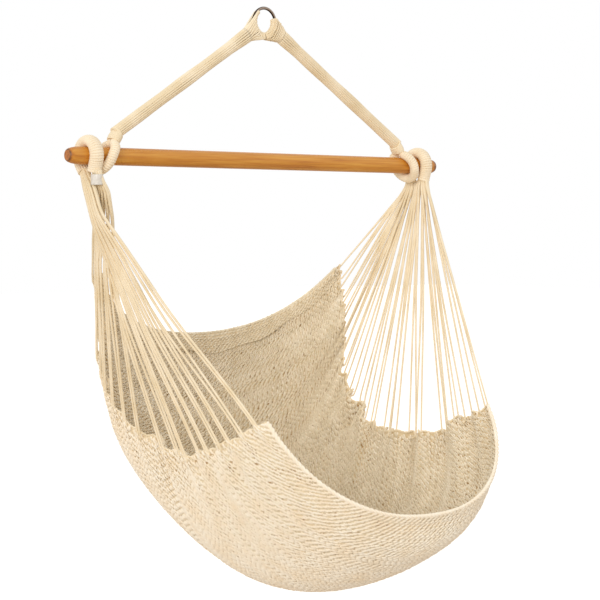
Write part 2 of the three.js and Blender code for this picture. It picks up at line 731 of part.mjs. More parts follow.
// The upper stops of a cord's two strands: the one that goes to the outer face, then the inner one.
// The left fan crosses: the rear bundle passes outside to the front, the front one inside to the back.
function neckStrands(side, index) {
  const perBundle = CORDS_PER_SIDE / 2;
  const aim = index < perBundle ? 1 : -1;
  const crossed = side < 0;
  const bundle = crossed ? -aim : aim;
  const slot = index % perBundle;
  const end = eyeEnd(side, bundle);
  const row = NECK_ROW_SHARES[slot] * CORD_PITCH;
  const faceZ = end.z - (bundle * row + CORD_RADIUS) * Math.tan(EYE_TURN) - GAP;
  return [1, -1].map((outside) => {
    const column = (NECK_COLUMN_SHARES[slot] + outside / 2) * CORD_PITCH;
    const at = (shift, y, z) => vector(side * (EYE_X + column + shift), y + row, z);
    const stops = [at(0, end.y, faceZ), at(0, end.y, faceZ - CORD_PITCH)];
    if (crossed) {
      const shift = -aim * BUNDLE_HALF_X;
      const [first, last] = CROSSING_DROPS;
      stops.push(at(0, end.y, bandTop(side) - NECK_LENGTH));
      stops.push(at(shift, bundle * BUNDLE_HALF_Y, -BAR_DROP - first));
      stops.push(at(shift, aim * BUNDLE_HALF_Y, -BAR_DROP - last));
    }
    return stops;
  });
}

function armCord(side, index) {
  const { place, pull, normal } = edgeFrame(side, cordShare(index));
  const half = BED_THICKNESS / 2 + CORD_CLEARANCE + CORD_RADIUS;
  const base = place.addScaledVector(normal, PLEAT_DEPTH);
  const at = (inward, off) => base.clone().addScaledVector(pull, -inward).addScaledVector(normal, off);
  const turn = Array.from({ length: CORD_TURN_STEPS + 1 }, (_, i) => {
    const angle = Math.PI * i / CORD_TURN_STEPS;
    return at(BORDER_WIDTH + half * Math.sin(angle), half * Math.cos(angle));
  });
  const above = -SCALLOP_OUT - BORDER_WIDTH;
  const [outside, inside] = neckStrands(side, index);
  const points = [...outside, at(above, half), ...turn, at(above, -half), ...inside.reverse()];
  const facing = pull.clone().cross(normal);
  return skin(ringsAlong(points, facing, CORD_SIDES, () => CORD_RADIUS));
}

// Assembly

add('hang_ring', hangRing(), steel);
add('spreader_bar', spreaderBar(), varnishedWood);
add('woven_bed', wovenBed(), wovenCotton);
add('front_edge_cord', frontEdgeCord(), cottonCord);
add('back_hem', backHem(), wovenCotton);
for (const [name, side] of [['left', -1], ['right', 1]]) {
  add(`ring_eye_${name}`, ringEye(side), cottonCord);
  add(`suspension_leg_${name}`, suspensionLeg(side), cottonCord);
  add(`seizing_${name}`, seizing(side), cottonCord);
  add(`bar_loop_${name}`, barLoop(side), cottonCord);
  add(`hammock_eye_${name}`, hammockEye(side), cottonCord);
  for (let i = 0; i < CORDS_PER_SIDE; i += 1) {
    add(`arm_cord_${name}_${String(i + 1).padStart(2, '0')}`, armCord(side, i), cottonCord);
  }
}

add('neck_band_left', neckBand(-1), clearTape);

export default chair;
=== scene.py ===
import math

import bpy
import numpy as np
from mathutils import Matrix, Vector


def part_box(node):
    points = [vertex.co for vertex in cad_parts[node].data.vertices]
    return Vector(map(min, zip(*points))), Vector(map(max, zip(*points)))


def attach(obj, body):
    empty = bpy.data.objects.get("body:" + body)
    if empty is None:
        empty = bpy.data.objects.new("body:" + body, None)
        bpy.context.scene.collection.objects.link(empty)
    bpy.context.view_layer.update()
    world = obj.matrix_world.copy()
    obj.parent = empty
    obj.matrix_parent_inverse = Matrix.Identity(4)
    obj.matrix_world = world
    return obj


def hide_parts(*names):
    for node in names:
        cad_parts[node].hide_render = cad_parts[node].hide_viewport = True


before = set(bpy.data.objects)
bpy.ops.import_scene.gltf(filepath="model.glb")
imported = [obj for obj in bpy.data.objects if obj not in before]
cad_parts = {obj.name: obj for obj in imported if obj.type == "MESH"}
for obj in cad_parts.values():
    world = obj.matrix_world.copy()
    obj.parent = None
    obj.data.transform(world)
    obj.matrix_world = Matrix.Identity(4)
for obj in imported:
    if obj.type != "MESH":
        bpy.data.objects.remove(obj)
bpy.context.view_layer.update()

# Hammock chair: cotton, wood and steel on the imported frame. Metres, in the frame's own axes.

MM = 0.001
GAP = 0.3 * MM
UP = np.array([0.0, 0.0, 1.0])
ALONG_BAR = np.array([1.0, 0.0, 0.0])
BACK = np.array([0.0, 1.0, 0.0])
MIRROR = np.array([1, -1, 1])
SIDES = {"left": -1, "right": 1}
rng = np.random.default_rng(7)

# Sizes read from the frame
ring_low, ring_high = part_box("hang_ring")
bar_low, bar_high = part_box("spreader_bar")
eye_low, eye_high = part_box("hammock_eye_right")
WIRE_RADIUS = ring_high.y
RING_RADIUS = ring_high.x - WIRE_RADIUS
RING_Z = (ring_low.z + ring_high.z) / 2
BAR_HALF = bar_high.x
BAR_RADIUS = bar_high.y
BAR_Z = (bar_low.z + bar_high.z) / 2
EYE_X = (eye_low.x + eye_high.x) / 2
EYE_RADIUS = (eye_high.x - eye_low.x) / 2
RING_CENTRE = np.array([0.0, 0.0, RING_Z])

# Hang ring and spreader bar. The bar's tips swell from their ends in the shares given
RING_STEPS = 120
WIRE_SIDES = 20
TIP_LENGTH = 33 * MM
TIP_RADIUS = 12.5 * MM
TIP_PLACE_SHARES = [0, 0.04, 0.14, 0.36, 0.66, 1]
TIP_RISE_SHARES = [-0.25, 0.1, 0.38, 0.7, 0.93, 1]
TIP_RINGS = 16
TIP_CROWDING = 1.7
BAR_RINGS = 60
BAR_SIDES = 64

# Strands of the legs, and of the fans that they open into over the ring
STRAND_RADIUS = 2.3 * MM
STRAND_SIDES = 8
STRAND_NEST = 1.7 * STRAND_RADIUS
STRAND_DRIFT = 0.3 * MM
STRAND_DRIFT_WAVE = 11
STRAND_DRIFT_PHASE = 7
OUTER_STRANDS = 9
OUTER_SPREAD = math.radians(84)
OUTER_LIFT = 0.6 * MM
LEG_RADIUS = 12.4 * MM
LEG_FULLNESS = 1.18
LEG_SWELL = 0.06
LEG_SWELL_WAVE = 17
LEG_FLARE = 1.5
LEG_FLARE_START = 0.84
LEG_CORE_RADIUS = LEG_RADIUS - 3.4 * STRAND_RADIUS
LEG_CORE_SIDES = 12
LEG_STEPS = 60
THROAT_TILT = math.radians(-27)
THROAT_REACH = 24.2 * MM
THROAT_DROP = {-1: 7 * MM, 1: 5 * MM}
THROAT_EASE = 0.2 * THROAT_REACH
FAN_LOW = math.radians(-84)
FAN_TOP = {-1: math.radians(46), 1: math.radians(16)}
FAN_HANG = 7 * MM
FAN_HANG_START = 0.2
FAN_HANG_SPAN = 0.6
FAN_STEP = 1.8 * MM

# Stitches over the right fan. Their rows are points of the fan's lines, counted from the ring's top
STITCH_RADIUS = 1.5 * MM
STITCH_SIDES = 6
STITCH_STANDOFF = 2.6 * STRAND_RADIUS
STITCH_LEAN = 1.1 * MM
STITCH_STEPS = 6
STITCHES_ACROSS = 13
STITCH_ROWS = [*range(-23, 0, 3), *range(2, 24, 3)]
STITCH_HUMP_SHARES = np.array([-0.6, 0.5, 1.0, 1.1, 0.8, 0.1, -0.7])
STITCH_FACING = BACK + 0.2 * ALONG_BAR + 0.3 * UP

# Bar loops. Each thins to a neck at its two ends, and its lower part is tucked towards the middle
LOOP_RADIUS = 9.5 * MM
LOOP_FULL = 11.0 * MM
LOOP_NECK = 7.2 * MM
LOOP_NECK_SHARE = 0.34
LOOP_YAW = 0.08
LOOP_TUCK = 4.2 * MM
LOOP_TUCK_START = 10 * MM
LOOP_TUCK_SPAN = 35 * MM
LOOP_SLANT = math.radians(32)
LOOP_REACH = 53 * MM
LOOP_TO_EYE = 2 * MM
LOOP_CLEARANCE = 0.7 * MM
LOOP_EASE_SHARE = 0.8
LOOP_SIDE = BAR_RADIUS + LOOP_CLEARANCE + LOOP_RADIUS
LOOP_LOW = LOOP_SIDE / math.cos(LOOP_SLANT)
LOOP_X = (EYE_X - EYE_RADIUS - LOOP_TO_EYE - LOOP_LOW * math.sin(LOOP_SLANT)
          - LOOP_RADIUS * math.cos(LOOP_SLANT))

# Whipping over the loops and the eyes
WHIP_PITCH = 4.6 * MM
WHIP_RISE = 1.2 * MM
WHIP_SPREAD = 2.35
WHIP_CORE_STEP = 3 * MM
WHIP_CORE_SIDES = 20

# Seizings. Rooms are what the turns stand off the two loop ends, and off the leg
SEIZING_CROWN = 12 * MM
SEIZING_SLEEVE = 13 * MM
SEIZING_DOME = 5 * MM
SEIZING_DOME_SHARES = (0.25, 0.5, 0.75, 1.0)
SEIZING_DOME_ROUNDING = 0.97
SEIZING_TURN = 1.9 * MM
SEIZING_TURNS = 7
SEIZING_SWELL = 1.2 * MM
SEIZING_SWELL_SHARES = (0.2, 0.8)
SEIZING_LONG_ROOM = 0.6 * MM
SEIZING_SHORT_ROOM = 3.6 * MM
SEIZING_LEG_ROOM = 0.2 * MM
SEIZING_SKIN_SIDES = 24

# Hammock eyes. The left one's rear leg leans forward below the bar
EYE_CLEARANCE = 0.8 * MM
EYE_PATH_RADIUS = BAR_RADIUS + EYE_CLEARANCE + EYE_RADIUS
EYE_TURN = math.radians(20)
EYE_BEND_STEPS = 60
EYE_LEG = 24 * MM
EYE_LEG_STEPS = 10
EYE_WHIPPED_SHARE = 0.74
EYE_OVERLAP = 3
EYE_HUG = 2.6 * MM
EYE_HALF_WIDTH = 16 * MM
EYE_FLATNESS = 0.8
EYE_STRANDS = 16
EYE_CORE_INSET = 2.8 * MM
EYE_CORE_SIDES = 16
EYE_FACING = ALONG_BAR + 0.2 * BACK
EYE_RIM_SETBACK = 1.4 * MM
EYE_RIM_INSET = 1.2 * MM
EYE_RIM_RADIUS = 2.0 * MM
REAR_LEAN = 9 * MM
REAR_LEAN_START = 12 * MM
REAR_LEAN_SPAN = 30 * MM

# Tape band round the left front bundle
BAND_LENGTH = 22 * MM
BAND_BELOW_EYE = 1.2 * MM
BAND_FORWARD = 8 * MM
BAND_HALF_WIDTH = 11.8 * MM
BAND_HALF_DEPTH = 12.6 * MM
BAND_WALL = 0.9 * MM
BAND_CREASE = 0.5 * MM
BAND_SIDES = 48
BAND_ROWS = 12

# Arm cords. Each side's cords leave the eye in two bundles, and a cord thickens towards the eye
CORDS = 20
BUNDLE = CORDS // 2
CORD_PITCH = 4.4 * MM
CORD_STEP = 3.2 * MM
CORD_ROUTE_STEP = 4 * MM
CORD_EASING = 14
CORD_APART_MM = {-1: (2.4, 5.0), 1: (6.0, 12.0)}
CORD_RADII_MM = {-1: (2.3, 3.1), 1: (1.8, 3.1)}
CORD_BOW = {-1: 5 * MM, 1: 0.0}
CORD_SLACK = 3 * MM
CORD_STRAND_SLACK = 2.5 * MM
EYELET_REACH = 6 * MM
EYELET_TURN_STEPS = 9
NECK_DRAW = 0.86
NECK_INTO_EYE = 5 * MM
NECK_BELOW_EYE = 14 * MM
NECK_PINCH = 14 * MM
NECK_SCATTER = 1.5 * MM
NECK_FORWARD = 5 * MM
NECK_ROW_SHARES = [2.5, 1.5, 1.5, 0.5, 0.5, -0.5, -0.5, -1.5, -1.5, -2.5]
NECK_COLUMN_SHARES = [0, -1, 1, -1, 1, -1, 1, -1, 1, 0]

# On the left the two bundles pass each other below the eye, and the front cords sag
BAND_BUNDLE_OUT = np.array([20.0, -1.0, 0.0]) * MM
REAR_BUNDLE_OUT = np.array([-13.0, -15.0, 0.0]) * MM
CROSSING_RISE = 50 * MM
CROSSING_END = 230 * MM
CROSSING_FALL = 140 * MM
CROSSING_LEAST_SHARE = 0.15
FRONT_SAG = np.array([-20.0, 16.0, 0.0]) * MM
SAG_START = 20 * MM
SAG_RISE = 120 * MM
SAG_FALL_SHARE = 0.5
SAG_LEAST_SHARE = 0.2

# Woven bed: drops below the bar, leans and half widths at stations from the back edge to the front
BED_DROP = 964 * MM
EDGE_DROP = 673 * MM
EDGE_HALF_WIDTH = 357 * MM
STATION_SHARES = np.array([0, 0.2, 0.4, 0.6, 0.8, 1])
STATION_LEANS_DEG = np.array([31.6, 20.6, 12.3, -6, -28.7, -36])
BED_DROP_SHARES = np.array([0.492, 0.66, 0.804, 0.98, 1, 0.953])
EDGE_DROP_SHARES = np.array([0.421, 0.553, 0.788, 0.935, 0.978, 1])
EDGE_WIDTH_SHARES = np.array([1, 1.005, 0.988, 0.884, 0.932, 0.902])
FAN_POINT_DROP = 60 * MM
RUN_STEPS = 401
GROUND_HALF = 0.7 * MM
GROUND_COLUMNS = 161
GROUND_ROWS = 301

# Side edges: how far out the rows crowd together at the cords, with pleats and scallops
EDGE_START_SHARE = 0.25
EDGE_SPAN_SHARE = 0.65
BUNCH_SHARE = 0.55
BUNCH_START_SHARE = 0.85
BUNCH_SPAN_SHARE = 0.13
BORDER_WIDTH = 8 * MM
SCALLOP_OUT = 4 * MM
SCALLOP_IN = 9 * MM
SCALLOP_DEPTH_SHARE = 0.35
SCALLOP_SMALL_SHARE = 0.3
SCALLOP_REACH = 30 * MM
SCALLOP_DRIFT = 4 * MM
SCALLOP_DRIFT_WAVES = (6.7, 2.3)
SCALLOP_SHIFT = 1.5
SCALLOP_SHIFT_WAVE = 9
PLEAT_DEPTH = 6 * MM
PLEAT_REACH = 150 * MM
PLEAT_FAR_SHARE = 0.35
GATHER_WIDTH = 52 * MM
EDGE_COLUMNS = 121
EDGE_PROBE_SHARE = 0.002

# Broad folds of each side: share along the edge, width in shares, height and how far in they run
FOLD_SHARES = [
    (0.045, 0.030, 8, 200), (0.135, 0.032, -8, 230), (0.215, 0.030, 9, 200), (0.30, 0.034, -10, 260),
    (0.50, 0.028, -9, 240), (0.57, 0.026, 8, 220), (0.632, 0.026, -10, 240), (0.685, 0.024, 14, 270),
    (0.737, 0.022, -11, 260), (0.793, 0.029, 19, 310), (0.846, 0.022, -10, 220), (0.895, 0.020, 11, 220),
    (0.953, 0.020, -7, 180),
]
FOLD_FULLNESS = {-1: 0.5, 1: 1.7}
FOLD_SCATTER_SHARE = 0.012
FOLD_SCATTER_WAVE = 31
# Deep creases where the seat turns up into the back: side, then as above, then how far the crease
# drifts towards the back edge, in shares to a metre inwards
CREASE_SHARES = [(-1, 0.53, 0.02, -24, 330, 0.0), (1, 0.402, 0.018, -15, 330, 0.5),
                 (1, 0.437, 0.014, 20, 330, 0.5)]

# Weave: two layers of strands, one to each face. A strand leans across its row for most of a stitch
# and goes back under its neighbours, so that it shows as a line of short leaning grains. The real
# yarn is too fine to show at this size, so the strands are drawn fewer and thicker than life
WEAVE_STRANDS = 220
WEAVE_STITCHES = 66
WEAVE_SAMPLES = 240
STITCH_PLACES = np.array([0.0, 0.18, 0.6, 0.78])
STITCH_SWAYS = np.array([-1.0, -0.55, 0.55, 1.0])
STITCH_RISES = np.array([-2.3, 0.9, 0.9, -2.3])
STITCH_SWELLS = np.array([0.68, 1.0, 1.0, 0.68])
WEAVE_PITCH_LEAST = 2.6 * MM
WEAVE_PITCH_MOST = 5.6 * MM
WEAVE_SWAY_SHARE = 0.46
WEAVE_RADIUS_SHARE = 0.47
WEAVE_LAYER = 1.5 * MM
WEAVE_RIDGE = 0.5 * MM
WEAVE_RIDGE_STRANDS = 3.1
WEAVE_SIDES = 6
WEAVE_PIECES = 5
# How unevenly it is worked, in stitches, in rows and in height
WANDER_WAVE = 0.3
WANDER_ROWS = 13
WANDER_NOISE = 0.15
SWAY_NOISE = 0.11
RISE_NOISE = 0.4 * MM
RIDGE_DRIFT = 1.2
RIDGE_DRIFT_STITCHES = 4.7
LOOSE_SHARE = 0.07
LOOSE_STITCHES = (3.1, 7.3)
LOOSE_ROWS = (5, 11)

# Cords along the bed's edges. A lay is the length in which a ply goes once round
SELVAGE_RADIUS = 2.1 * MM
SELVAGE_LAY = 15 * MM
SELVAGE_LOBE = 0.3
SELVAGE_ROWS = 700
FRONT_SAMPLES = 620
FRONT_ROW_SHARES = np.array([0.985, 0.9925, 1.0])
FRONT_REACH = 1.2 * MM
PLY_RADIUS = 2.7 * MM
PLY_OFFSET = 2.0 * MM
PLY_LAY = 22 * MM
PLY_UNEVEN_SHARE = 0.12
PLY_UNEVEN_WAVE = 31 * MM
PLY_WANDER = 0.9
PLY_WANDER_WAVE = 70 * MM

# Hem: a flap along the back edge. Lifts are off the bed's middle surface, at its top and its foot
HEM_ROWS = 9
HEM_HALF_SHARE = 0.96
HEM_FALL_SHARE = 0.03
HEM_TOP_LIFT = 6.6 * MM
HEM_FOOT_LIFT = 5.0 * MM
HEM_LIFT = 9 * MM
HEM_SWAY_SHARE = 0.24
HEM_LAYER = 0.6 * WEAVE_LAYER
HEM_STRAND_LEAST = 2.3 * MM
# The first two rows roll over the back edge
HEM_ROLL_LIFTS = np.array([1.5, 5.0]) * MM
HEM_ROLL_RISES = np.array([3.0, 2.0]) * MM
# Where the flap gapes: place across the bed, width and share of the lift
HEM_GAPE_SHARES = [(0.42, 0.13, 1.0), (-0.1, 0.1, 0.35)]
HEM_GAPE_POWER = 1.6
HEM_ENDS_POWER = 0.6
# Waves of the ragged foot, and the ripple of the flap: size, wave number and phase
HEM_RAGGED_SHARES = [(0.16, 7, 0.4), (0.08, 19, 0.0)]
HEM_RIPPLE_SHARES = (0.25, 11, 1.3)
ROLL_RADIUS = 3.2 * MM
ROLL_SIDES = 10
ROLL_LAY = 40 * MM
ROLL_LOBE = 0.08


# Shapes

def unit(vectors):
    return vectors / np.maximum(np.linalg.norm(vectors, axis=-1, keepdims=True), 1e-12)


def lerp(a, b, share):
    return a + (b - a) * share


def smooth(share):
    s = np.clip(share, 0, 1)
    return s * s * (3 - 2 * s)


def new_mesh(name, points, quads, caps=()):
    """A smooth-shaded object from points, four-sided faces and flat end faces."""
    mesh = bpy.data.meshes.new(name)
    quads = np.asarray(quads, np.int32).reshape(-1, 4)
    caps = [np.asarray(cap, np.int32) for cap in caps]
    loops = np.concatenate([quads.ravel(), *caps]) if caps else quads.ravel()
    totals = np.concatenate([np.full(len(quads), 4), [len(cap) for cap in caps]]).astype(np.int32)
    starts = np.concatenate([[0], np.cumsum(totals)[:-1]]).astype(np.int32)
    mesh.vertices.add(len(points))
    mesh.vertices.foreach_set("co", np.asarray(points, np.float32).ravel())
    mesh.loops.add(len(loops))
    mesh.loops.foreach_set("vertex_index", loops)
    mesh.polygons.add(len(totals))
    mesh.polygons.foreach_set("loop_start", starts)
    mesh.polygons.foreach_set("loop_total", totals)
    mesh.polygons.foreach_set("use_smooth", np.arange(len(totals)) < len(quads))
    mesh.update(calc_edges=True)
    mesh.validate()
    piece = bpy.data.objects.new(name, mesh)
    bpy.context.scene.collection.objects.link(piece)
    return piece


def join_shapes(name, parts):
    """One object from several shapes, each (points, quads, caps)."""
    points, quads, caps, offset = [], [], [], 0
    for part_points, part_quads, part_caps in parts:
        points.append(part_points)
        quads.append(part_quads + offset)
        caps.extend(cap + offset for cap in part_caps)
        offset += len(part_points)
    return new_mesh(name, np.concatenate(points), np.concatenate(quads), caps)


def directions(lines, facing, closed=False):
    """Along, across and over each point of a line. Across keeps to the facing direction."""
    if closed:
        along = unit(np.roll(lines, -1, -2) - np.roll(lines, 1, -2))
    else:
        along = unit(np.gradient(lines, axis=-2))
    facing = np.broadcast_to(np.asarray(facing, float), lines.shape)
    across = unit(facing - (facing * along).sum(-1, keepdims=True) * along)
    return along, across, np.cross(along, across)


def sweep(lines, facing, radius, sides, closed=False, flat=1.0, lobes=0, depth=0.0, turn=0.0):
    """Tubes along lines of shape (count, steps, 3). Flat stretches the section square to facing.
    Lobes of the given depth turn round the tube by turn radians per metre, as the plies of a cord."""
    lines = np.asarray(lines, float)
    if lines.ndim == 2:
        lines = lines[None]
    count, steps, _ = lines.shape
    _, across, over = directions(lines, facing, closed)
    angle = 2 * np.pi * np.arange(sides) / sides
    reach = np.broadcast_to(np.asarray(radius, float), (count, steps))[:, :, None] * np.ones(sides)
    if lobes:
        stride = np.linalg.norm(np.diff(lines, axis=1), axis=-1)
        run = np.concatenate([np.zeros((count, 1)), np.cumsum(stride, 1)], 1)
        reach = reach * (1 + depth * np.cos(lobes * (angle[None, None] - turn * run[:, :, None])))
    points = (lines[:, :, None]
              + (reach * np.cos(angle))[..., None] * across[:, :, None]
              + (flat * reach * np.sin(angle))[..., None] * over[:, :, None])
    rings = steps if closed else steps - 1
    ring = np.arange(rings)[:, None] * sides
    after = (np.arange(rings)[:, None] + 1) % steps * sides
    spot = np.arange(sides)[None]
    beside = (spot + 1) % sides
    one = np.stack([ring + spot, ring + beside, after + beside, after + spot], -1).reshape(-1, 4)
    offset = np.arange(count)[:, None, None] * steps * sides
    quads = (one[None] + offset).reshape(-1, 4)
    caps = []
    if not closed:
        for k in range(count):
            first = k * steps * sides
            caps.append(first + np.arange(sides)[::-1])
            caps.append(first + (steps - 1) * sides + np.arange(sides))
    return points.reshape(-1, 3), quads, caps


def loft(rings):
    """A skin over rings with equal point counts, with flat ends."""
    sides = len(rings[0])
    spot = np.arange(sides)
    beside = (spot + 1) % sides
    ring = np.arange(len(rings) - 1)[:, None] * sides
    quads = np.stack([ring + spot, ring + sides + spot, ring + sides + beside, ring + beside], -1)
    end = (len(rings) - 1) * sides
    return np.concatenate(rings), quads.reshape(-1, 4), [spot, end + spot[::-1]]


def sheet_shape(place, normal, half):
    """A closed sheet over a grid of places, half of its thickness to each side."""
    rows, columns, _ = place.shape
    faces = [(place + way * normal * half).reshape(-1, 3) for way in (1, -1)]
    points = np.concatenate(faces)
    index = np.arange(rows * columns).reshape(rows, columns)
    shift = rows * columns
    top = np.stack([index[:-1, :-1], index[:-1, 1:], index[1:, 1:], index[1:, :-1]], -1).reshape(-1, 4)
    rim = np.concatenate([index[0, :-1], index[:-1, -1], index[-1, :0:-1], index[:0:-1, 0]])
    rim_next = np.roll(rim, -1)
    walls = np.stack([rim, rim + shift, rim_next + shift, rim_next], -1)
    return points, np.concatenate([top, top[:, ::-1] + shift, walls]), []


def run_along(line):
    """Distance along a line at each of its points."""
    return np.concatenate([[0], np.cumsum(np.linalg.norm(np.diff(line, axis=0), axis=1))])


def resample(line, step):
    """The same line with points an even step apart."""
    line = np.asarray(line, float)
    run = run_along(line)
    where = np.linspace(0, run[-1], max(4, int(round(run[-1] / step)) + 1))
    return np.stack([np.interp(where, run, line[:, i]) for i in range(3)], -1)


def eased(line, passes=12):
    """A line with its corners rounded, ends kept."""
    line = np.array(line, float)
    for _ in range(passes):
        line[1:-1] = (line[:-2] + 2 * line[1:-1] + line[2:]) / 4
    return line


def winding(line, facing, reach, pitch, steps_per_turn=14, flat=1.0):
    """A helix round a line, and the direction outward at each of its points."""
    fine = resample(line, pitch / steps_per_turn)
    _, across, over = directions(fine, facing)
    angle = 2 * np.pi * np.arange(len(fine)) / steps_per_turn
    outward = np.cos(angle)[:, None] * across + flat * np.sin(angle)[:, None] * over
    return fine + reach(len(fine))[:, None] * outward, unit(outward)


# Materials

def linear(code):
    """An sRGB hex colour as linear red, green, blue and alpha."""
    parts = [int(code[i:i + 2], 16) / 255 for i in (1, 3, 5)]
    return [p / 12.92 if p <= 0.04045 else ((p + 0.055) / 1.055) ** 2.4 for p in parts] + [1]


def add_node(tree, kind, settings=None, **inputs):
    """A node with its settings and its inputs. An input is a value, or another node's output."""
    node = tree.nodes.new(kind)
    for key, value in (settings or {}).items():
        setattr(node, key, value)
    for key, value in inputs.items():
        name = key.replace("_", " ")
        socket = node.inputs[int(key[1:])] if key[0] == "i" and key[1:].isdigit() else node.inputs[name]
        if isinstance(value, bpy.types.NodeSocket):
            tree.links.new(value, socket)
        else:
            socket.default_value = value
    return node


def new_material(name):
    material = bpy.data.materials.new(name)
    material.use_nodes = True
    tree = material.node_tree
    tree.nodes.clear()
    shader = add_node(tree, "ShaderNodeBsdfPrincipled")
    output = add_node(tree, "ShaderNodeOutputMaterial")
    tree.links.new(shader.outputs[0], output.inputs["Surface"])
    place = add_node(tree, "ShaderNodeTexCoord").outputs["Object"]
    return material, tree, shader, place


def colour_ramp(tree, value, stops):
    ramp = add_node(tree, "ShaderNodeValToRGB", Fac=value)
    elements = ramp.color_ramp.elements
    while len(elements) < len(stops):
        elements.new(0.5)
    for element, (spot, code) in zip(elements, stops):
        element.position = spot
        element.color = linear(code)
    return ramp.outputs["Color"]


def cotton(name, light, deep, mottle_mm, fibre_mm, bump_mm, span=(0.4, 0.75)):
    """Unbleached cotton, spun, then twisted or woven: matt and creamy, with a slow drift of tone
    from yarn to yarn and the fuzz of loose fibres. A fibre is far too fine to show, so the fuzz is
    drawn over a millimetre coarse."""
    material, tree, shader, place = new_material(name)
    mottle = add_node(tree, "ShaderNodeTexNoise", Vector=place, Scale=1 / (mottle_mm * MM), Detail=3.0)
    fibre = add_node(tree, "ShaderNodeTexNoise", Vector=place, Scale=1 / (fibre_mm * MM), Detail=4.0)
    tone = add_node(tree, "ShaderNodeMath", {"operation": "MULTIPLY_ADD"},
                    i0=fibre.outputs["Fac"], i1=0.2, i2=mottle.outputs["Fac"])
    colour = colour_ramp(tree, tone.outputs[0], [(span[0], deep), (span[1], light)])
    tree.links.new(colour, shader.inputs["Base Color"])
    shader.inputs["Roughness"].default_value = 0.92
    shader.inputs["Specular IOR Level"].default_value = 0.2
    shader.inputs["Sheen Weight"].default_value = 0.15
    shader.inputs["Sheen Roughness"].default_value = 0.6
    bump = add_node(tree, "ShaderNodeBump", Height=fibre.outputs["Fac"], Strength=0.4,
                    Distance=bump_mm * MM)
    tree.links.new(bump.outputs["Normal"], shader.inputs["Normal"])
    return material


# Grain of the bar, in mm along and across it. Pores are too fine to show, so their streaks are drawn
# over a millimetre wide. Then how far from the bar's ends the wood darkens. The last two darken the
# right end alone, and that is painted shade
GRAIN_MM = (166.67, 6.25)
PORE_MM = (55.56, 1.1111)
PORE_RELIEF = 0.1 * MM
TIP_REDDENING = 0.05
RIM_START = 4.5 * MM
RIM_FULL = 1 * MM
SHADED_TIP_START = 16 * MM
SHADED_TIP_FULL = 8 * MM


def varnished_wood(name, stops, coat, rim):
    """A hardwood dowel, turned, sanded and varnished: long honey streaks under a soft gloss. The end
    grain drinks the varnish, so the tips are redder and their rims dark. The right tip is darker still,
    which is painted shade."""
    material, tree, shader, place = new_material(name)
    grain_scale, pore_scale = [(1 / (long * MM), 1 / (wide * MM), 1 / (wide * MM))
                               for long, wide in (GRAIN_MM, PORE_MM)]
    stretched = add_node(tree, "ShaderNodeMapping", Vector=place, Scale=grain_scale)
    grain = add_node(tree, "ShaderNodeTexNoise", Vector=stretched.outputs[0], Scale=1.0, Detail=5.0,
                     Roughness=0.6)
    pore_place = add_node(tree, "ShaderNodeMapping", Vector=place, Scale=pore_scale)
    pores = add_node(tree, "ShaderNodeTexNoise", Vector=pore_place.outputs[0], Scale=1.0, Detail=3.0)
    tone = add_node(tree, "ShaderNodeMath", {"operation": "MULTIPLY_ADD"},
                    i0=pores.outputs["Fac"], i1=0.3, i2=grain.outputs["Fac"])
    along = add_node(tree, "ShaderNodeSeparateXYZ", Vector=place).outputs["X"]
    reach = add_node(tree, "ShaderNodeMath", {"operation": "ABSOLUTE"}, i0=along).outputs[0]
    # The first two darken both tips; the third darkens the right tip alone, painted shade
    for where, start, full, depth in ((reach, 2 * TIP_LENGTH, 0.0, TIP_REDDENING),
                                      (reach, RIM_START, RIM_FULL, rim),
                                      (along, SHADED_TIP_START, SHADED_TIP_FULL, rim)):
        darker = add_node(tree, "ShaderNodeMapRange", Value=where, From_Min=BAR_HALF - start,
                          From_Max=BAR_HALF - full, To_Max=depth)
        tone = add_node(tree, "ShaderNodeMath", {"operation": "SUBTRACT"}, i0=tone.outputs[0],
                        i1=darker.outputs[0])
    colour = colour_ramp(tree, tone.outputs[0], stops)
    tree.links.new(colour, shader.inputs["Base Color"])
    shader.inputs["Roughness"].default_value = 0.42
    shader.inputs["Coat Weight"].default_value = coat
    shader.inputs["Coat Roughness"].default_value = 0.25
    bump = add_node(tree, "ShaderNodeBump", Height=pores.outputs["Fac"], Strength=0.25,
                    Distance=PORE_RELIEF)
    tree.links.new(bump.outputs["Normal"], shader.inputs["Normal"])
    return material


WEAR_PATCH = 6 * MM
WEAR_RELIEF = 0.1 * MM


def bronzed_steel(name):
    """Drawn steel wire, plated a dark bronze: near black with tight highlights. The ring's two faces are
    lighter, a painted highlight. The wear comes in patches of 6 mm."""
    material, tree, shader, place = new_material(name)
    wear = add_node(tree, "ShaderNodeTexNoise", Vector=place, Scale=1 / WEAR_PATCH, Detail=4.0)
    depth = add_node(tree, "ShaderNodeSeparateXYZ", Vector=place).outputs["Y"]
    face = add_node(tree, "ShaderNodeMath", {"operation": "ABSOLUTE"}, i0=depth)
    # Painted highlight: the colour lightens towards the ring's two faces
    painted_highlight = add_node(tree, "ShaderNodeMapRange", Value=face.outputs[0], From_Min=0.5 * WIRE_RADIUS,
                   From_Max=WIRE_RADIUS)
    tone = add_node(tree, "ShaderNodeMath", {"operation": "MULTIPLY_ADD"},
                    i0=wear.outputs["Fac"], i1=0.5, i2=painted_highlight.outputs[0])
    colour = colour_ramp(tree, tone.outputs[0], [(0.35, "#33261D"), (0.8, "#5E4A3B"), (1.0, "#A8978A")])
    tree.links.new(colour, shader.inputs["Base Color"])
    shader.inputs["Metallic"].default_value = 1.0
    shader.inputs["Roughness"].default_value = 0.3
    bump = add_node(tree, "ShaderNodeBump", Height=wear.outputs["Fac"], Strength=0.15,
                    Distance=WEAR_RELIEF)
    tree.links.new(bump.outputs["Normal"], shader.inputs["Normal"])
    return material


TAPE_CREASE = 5 * MM
TAPE_RELIEF = 0.4 * MM


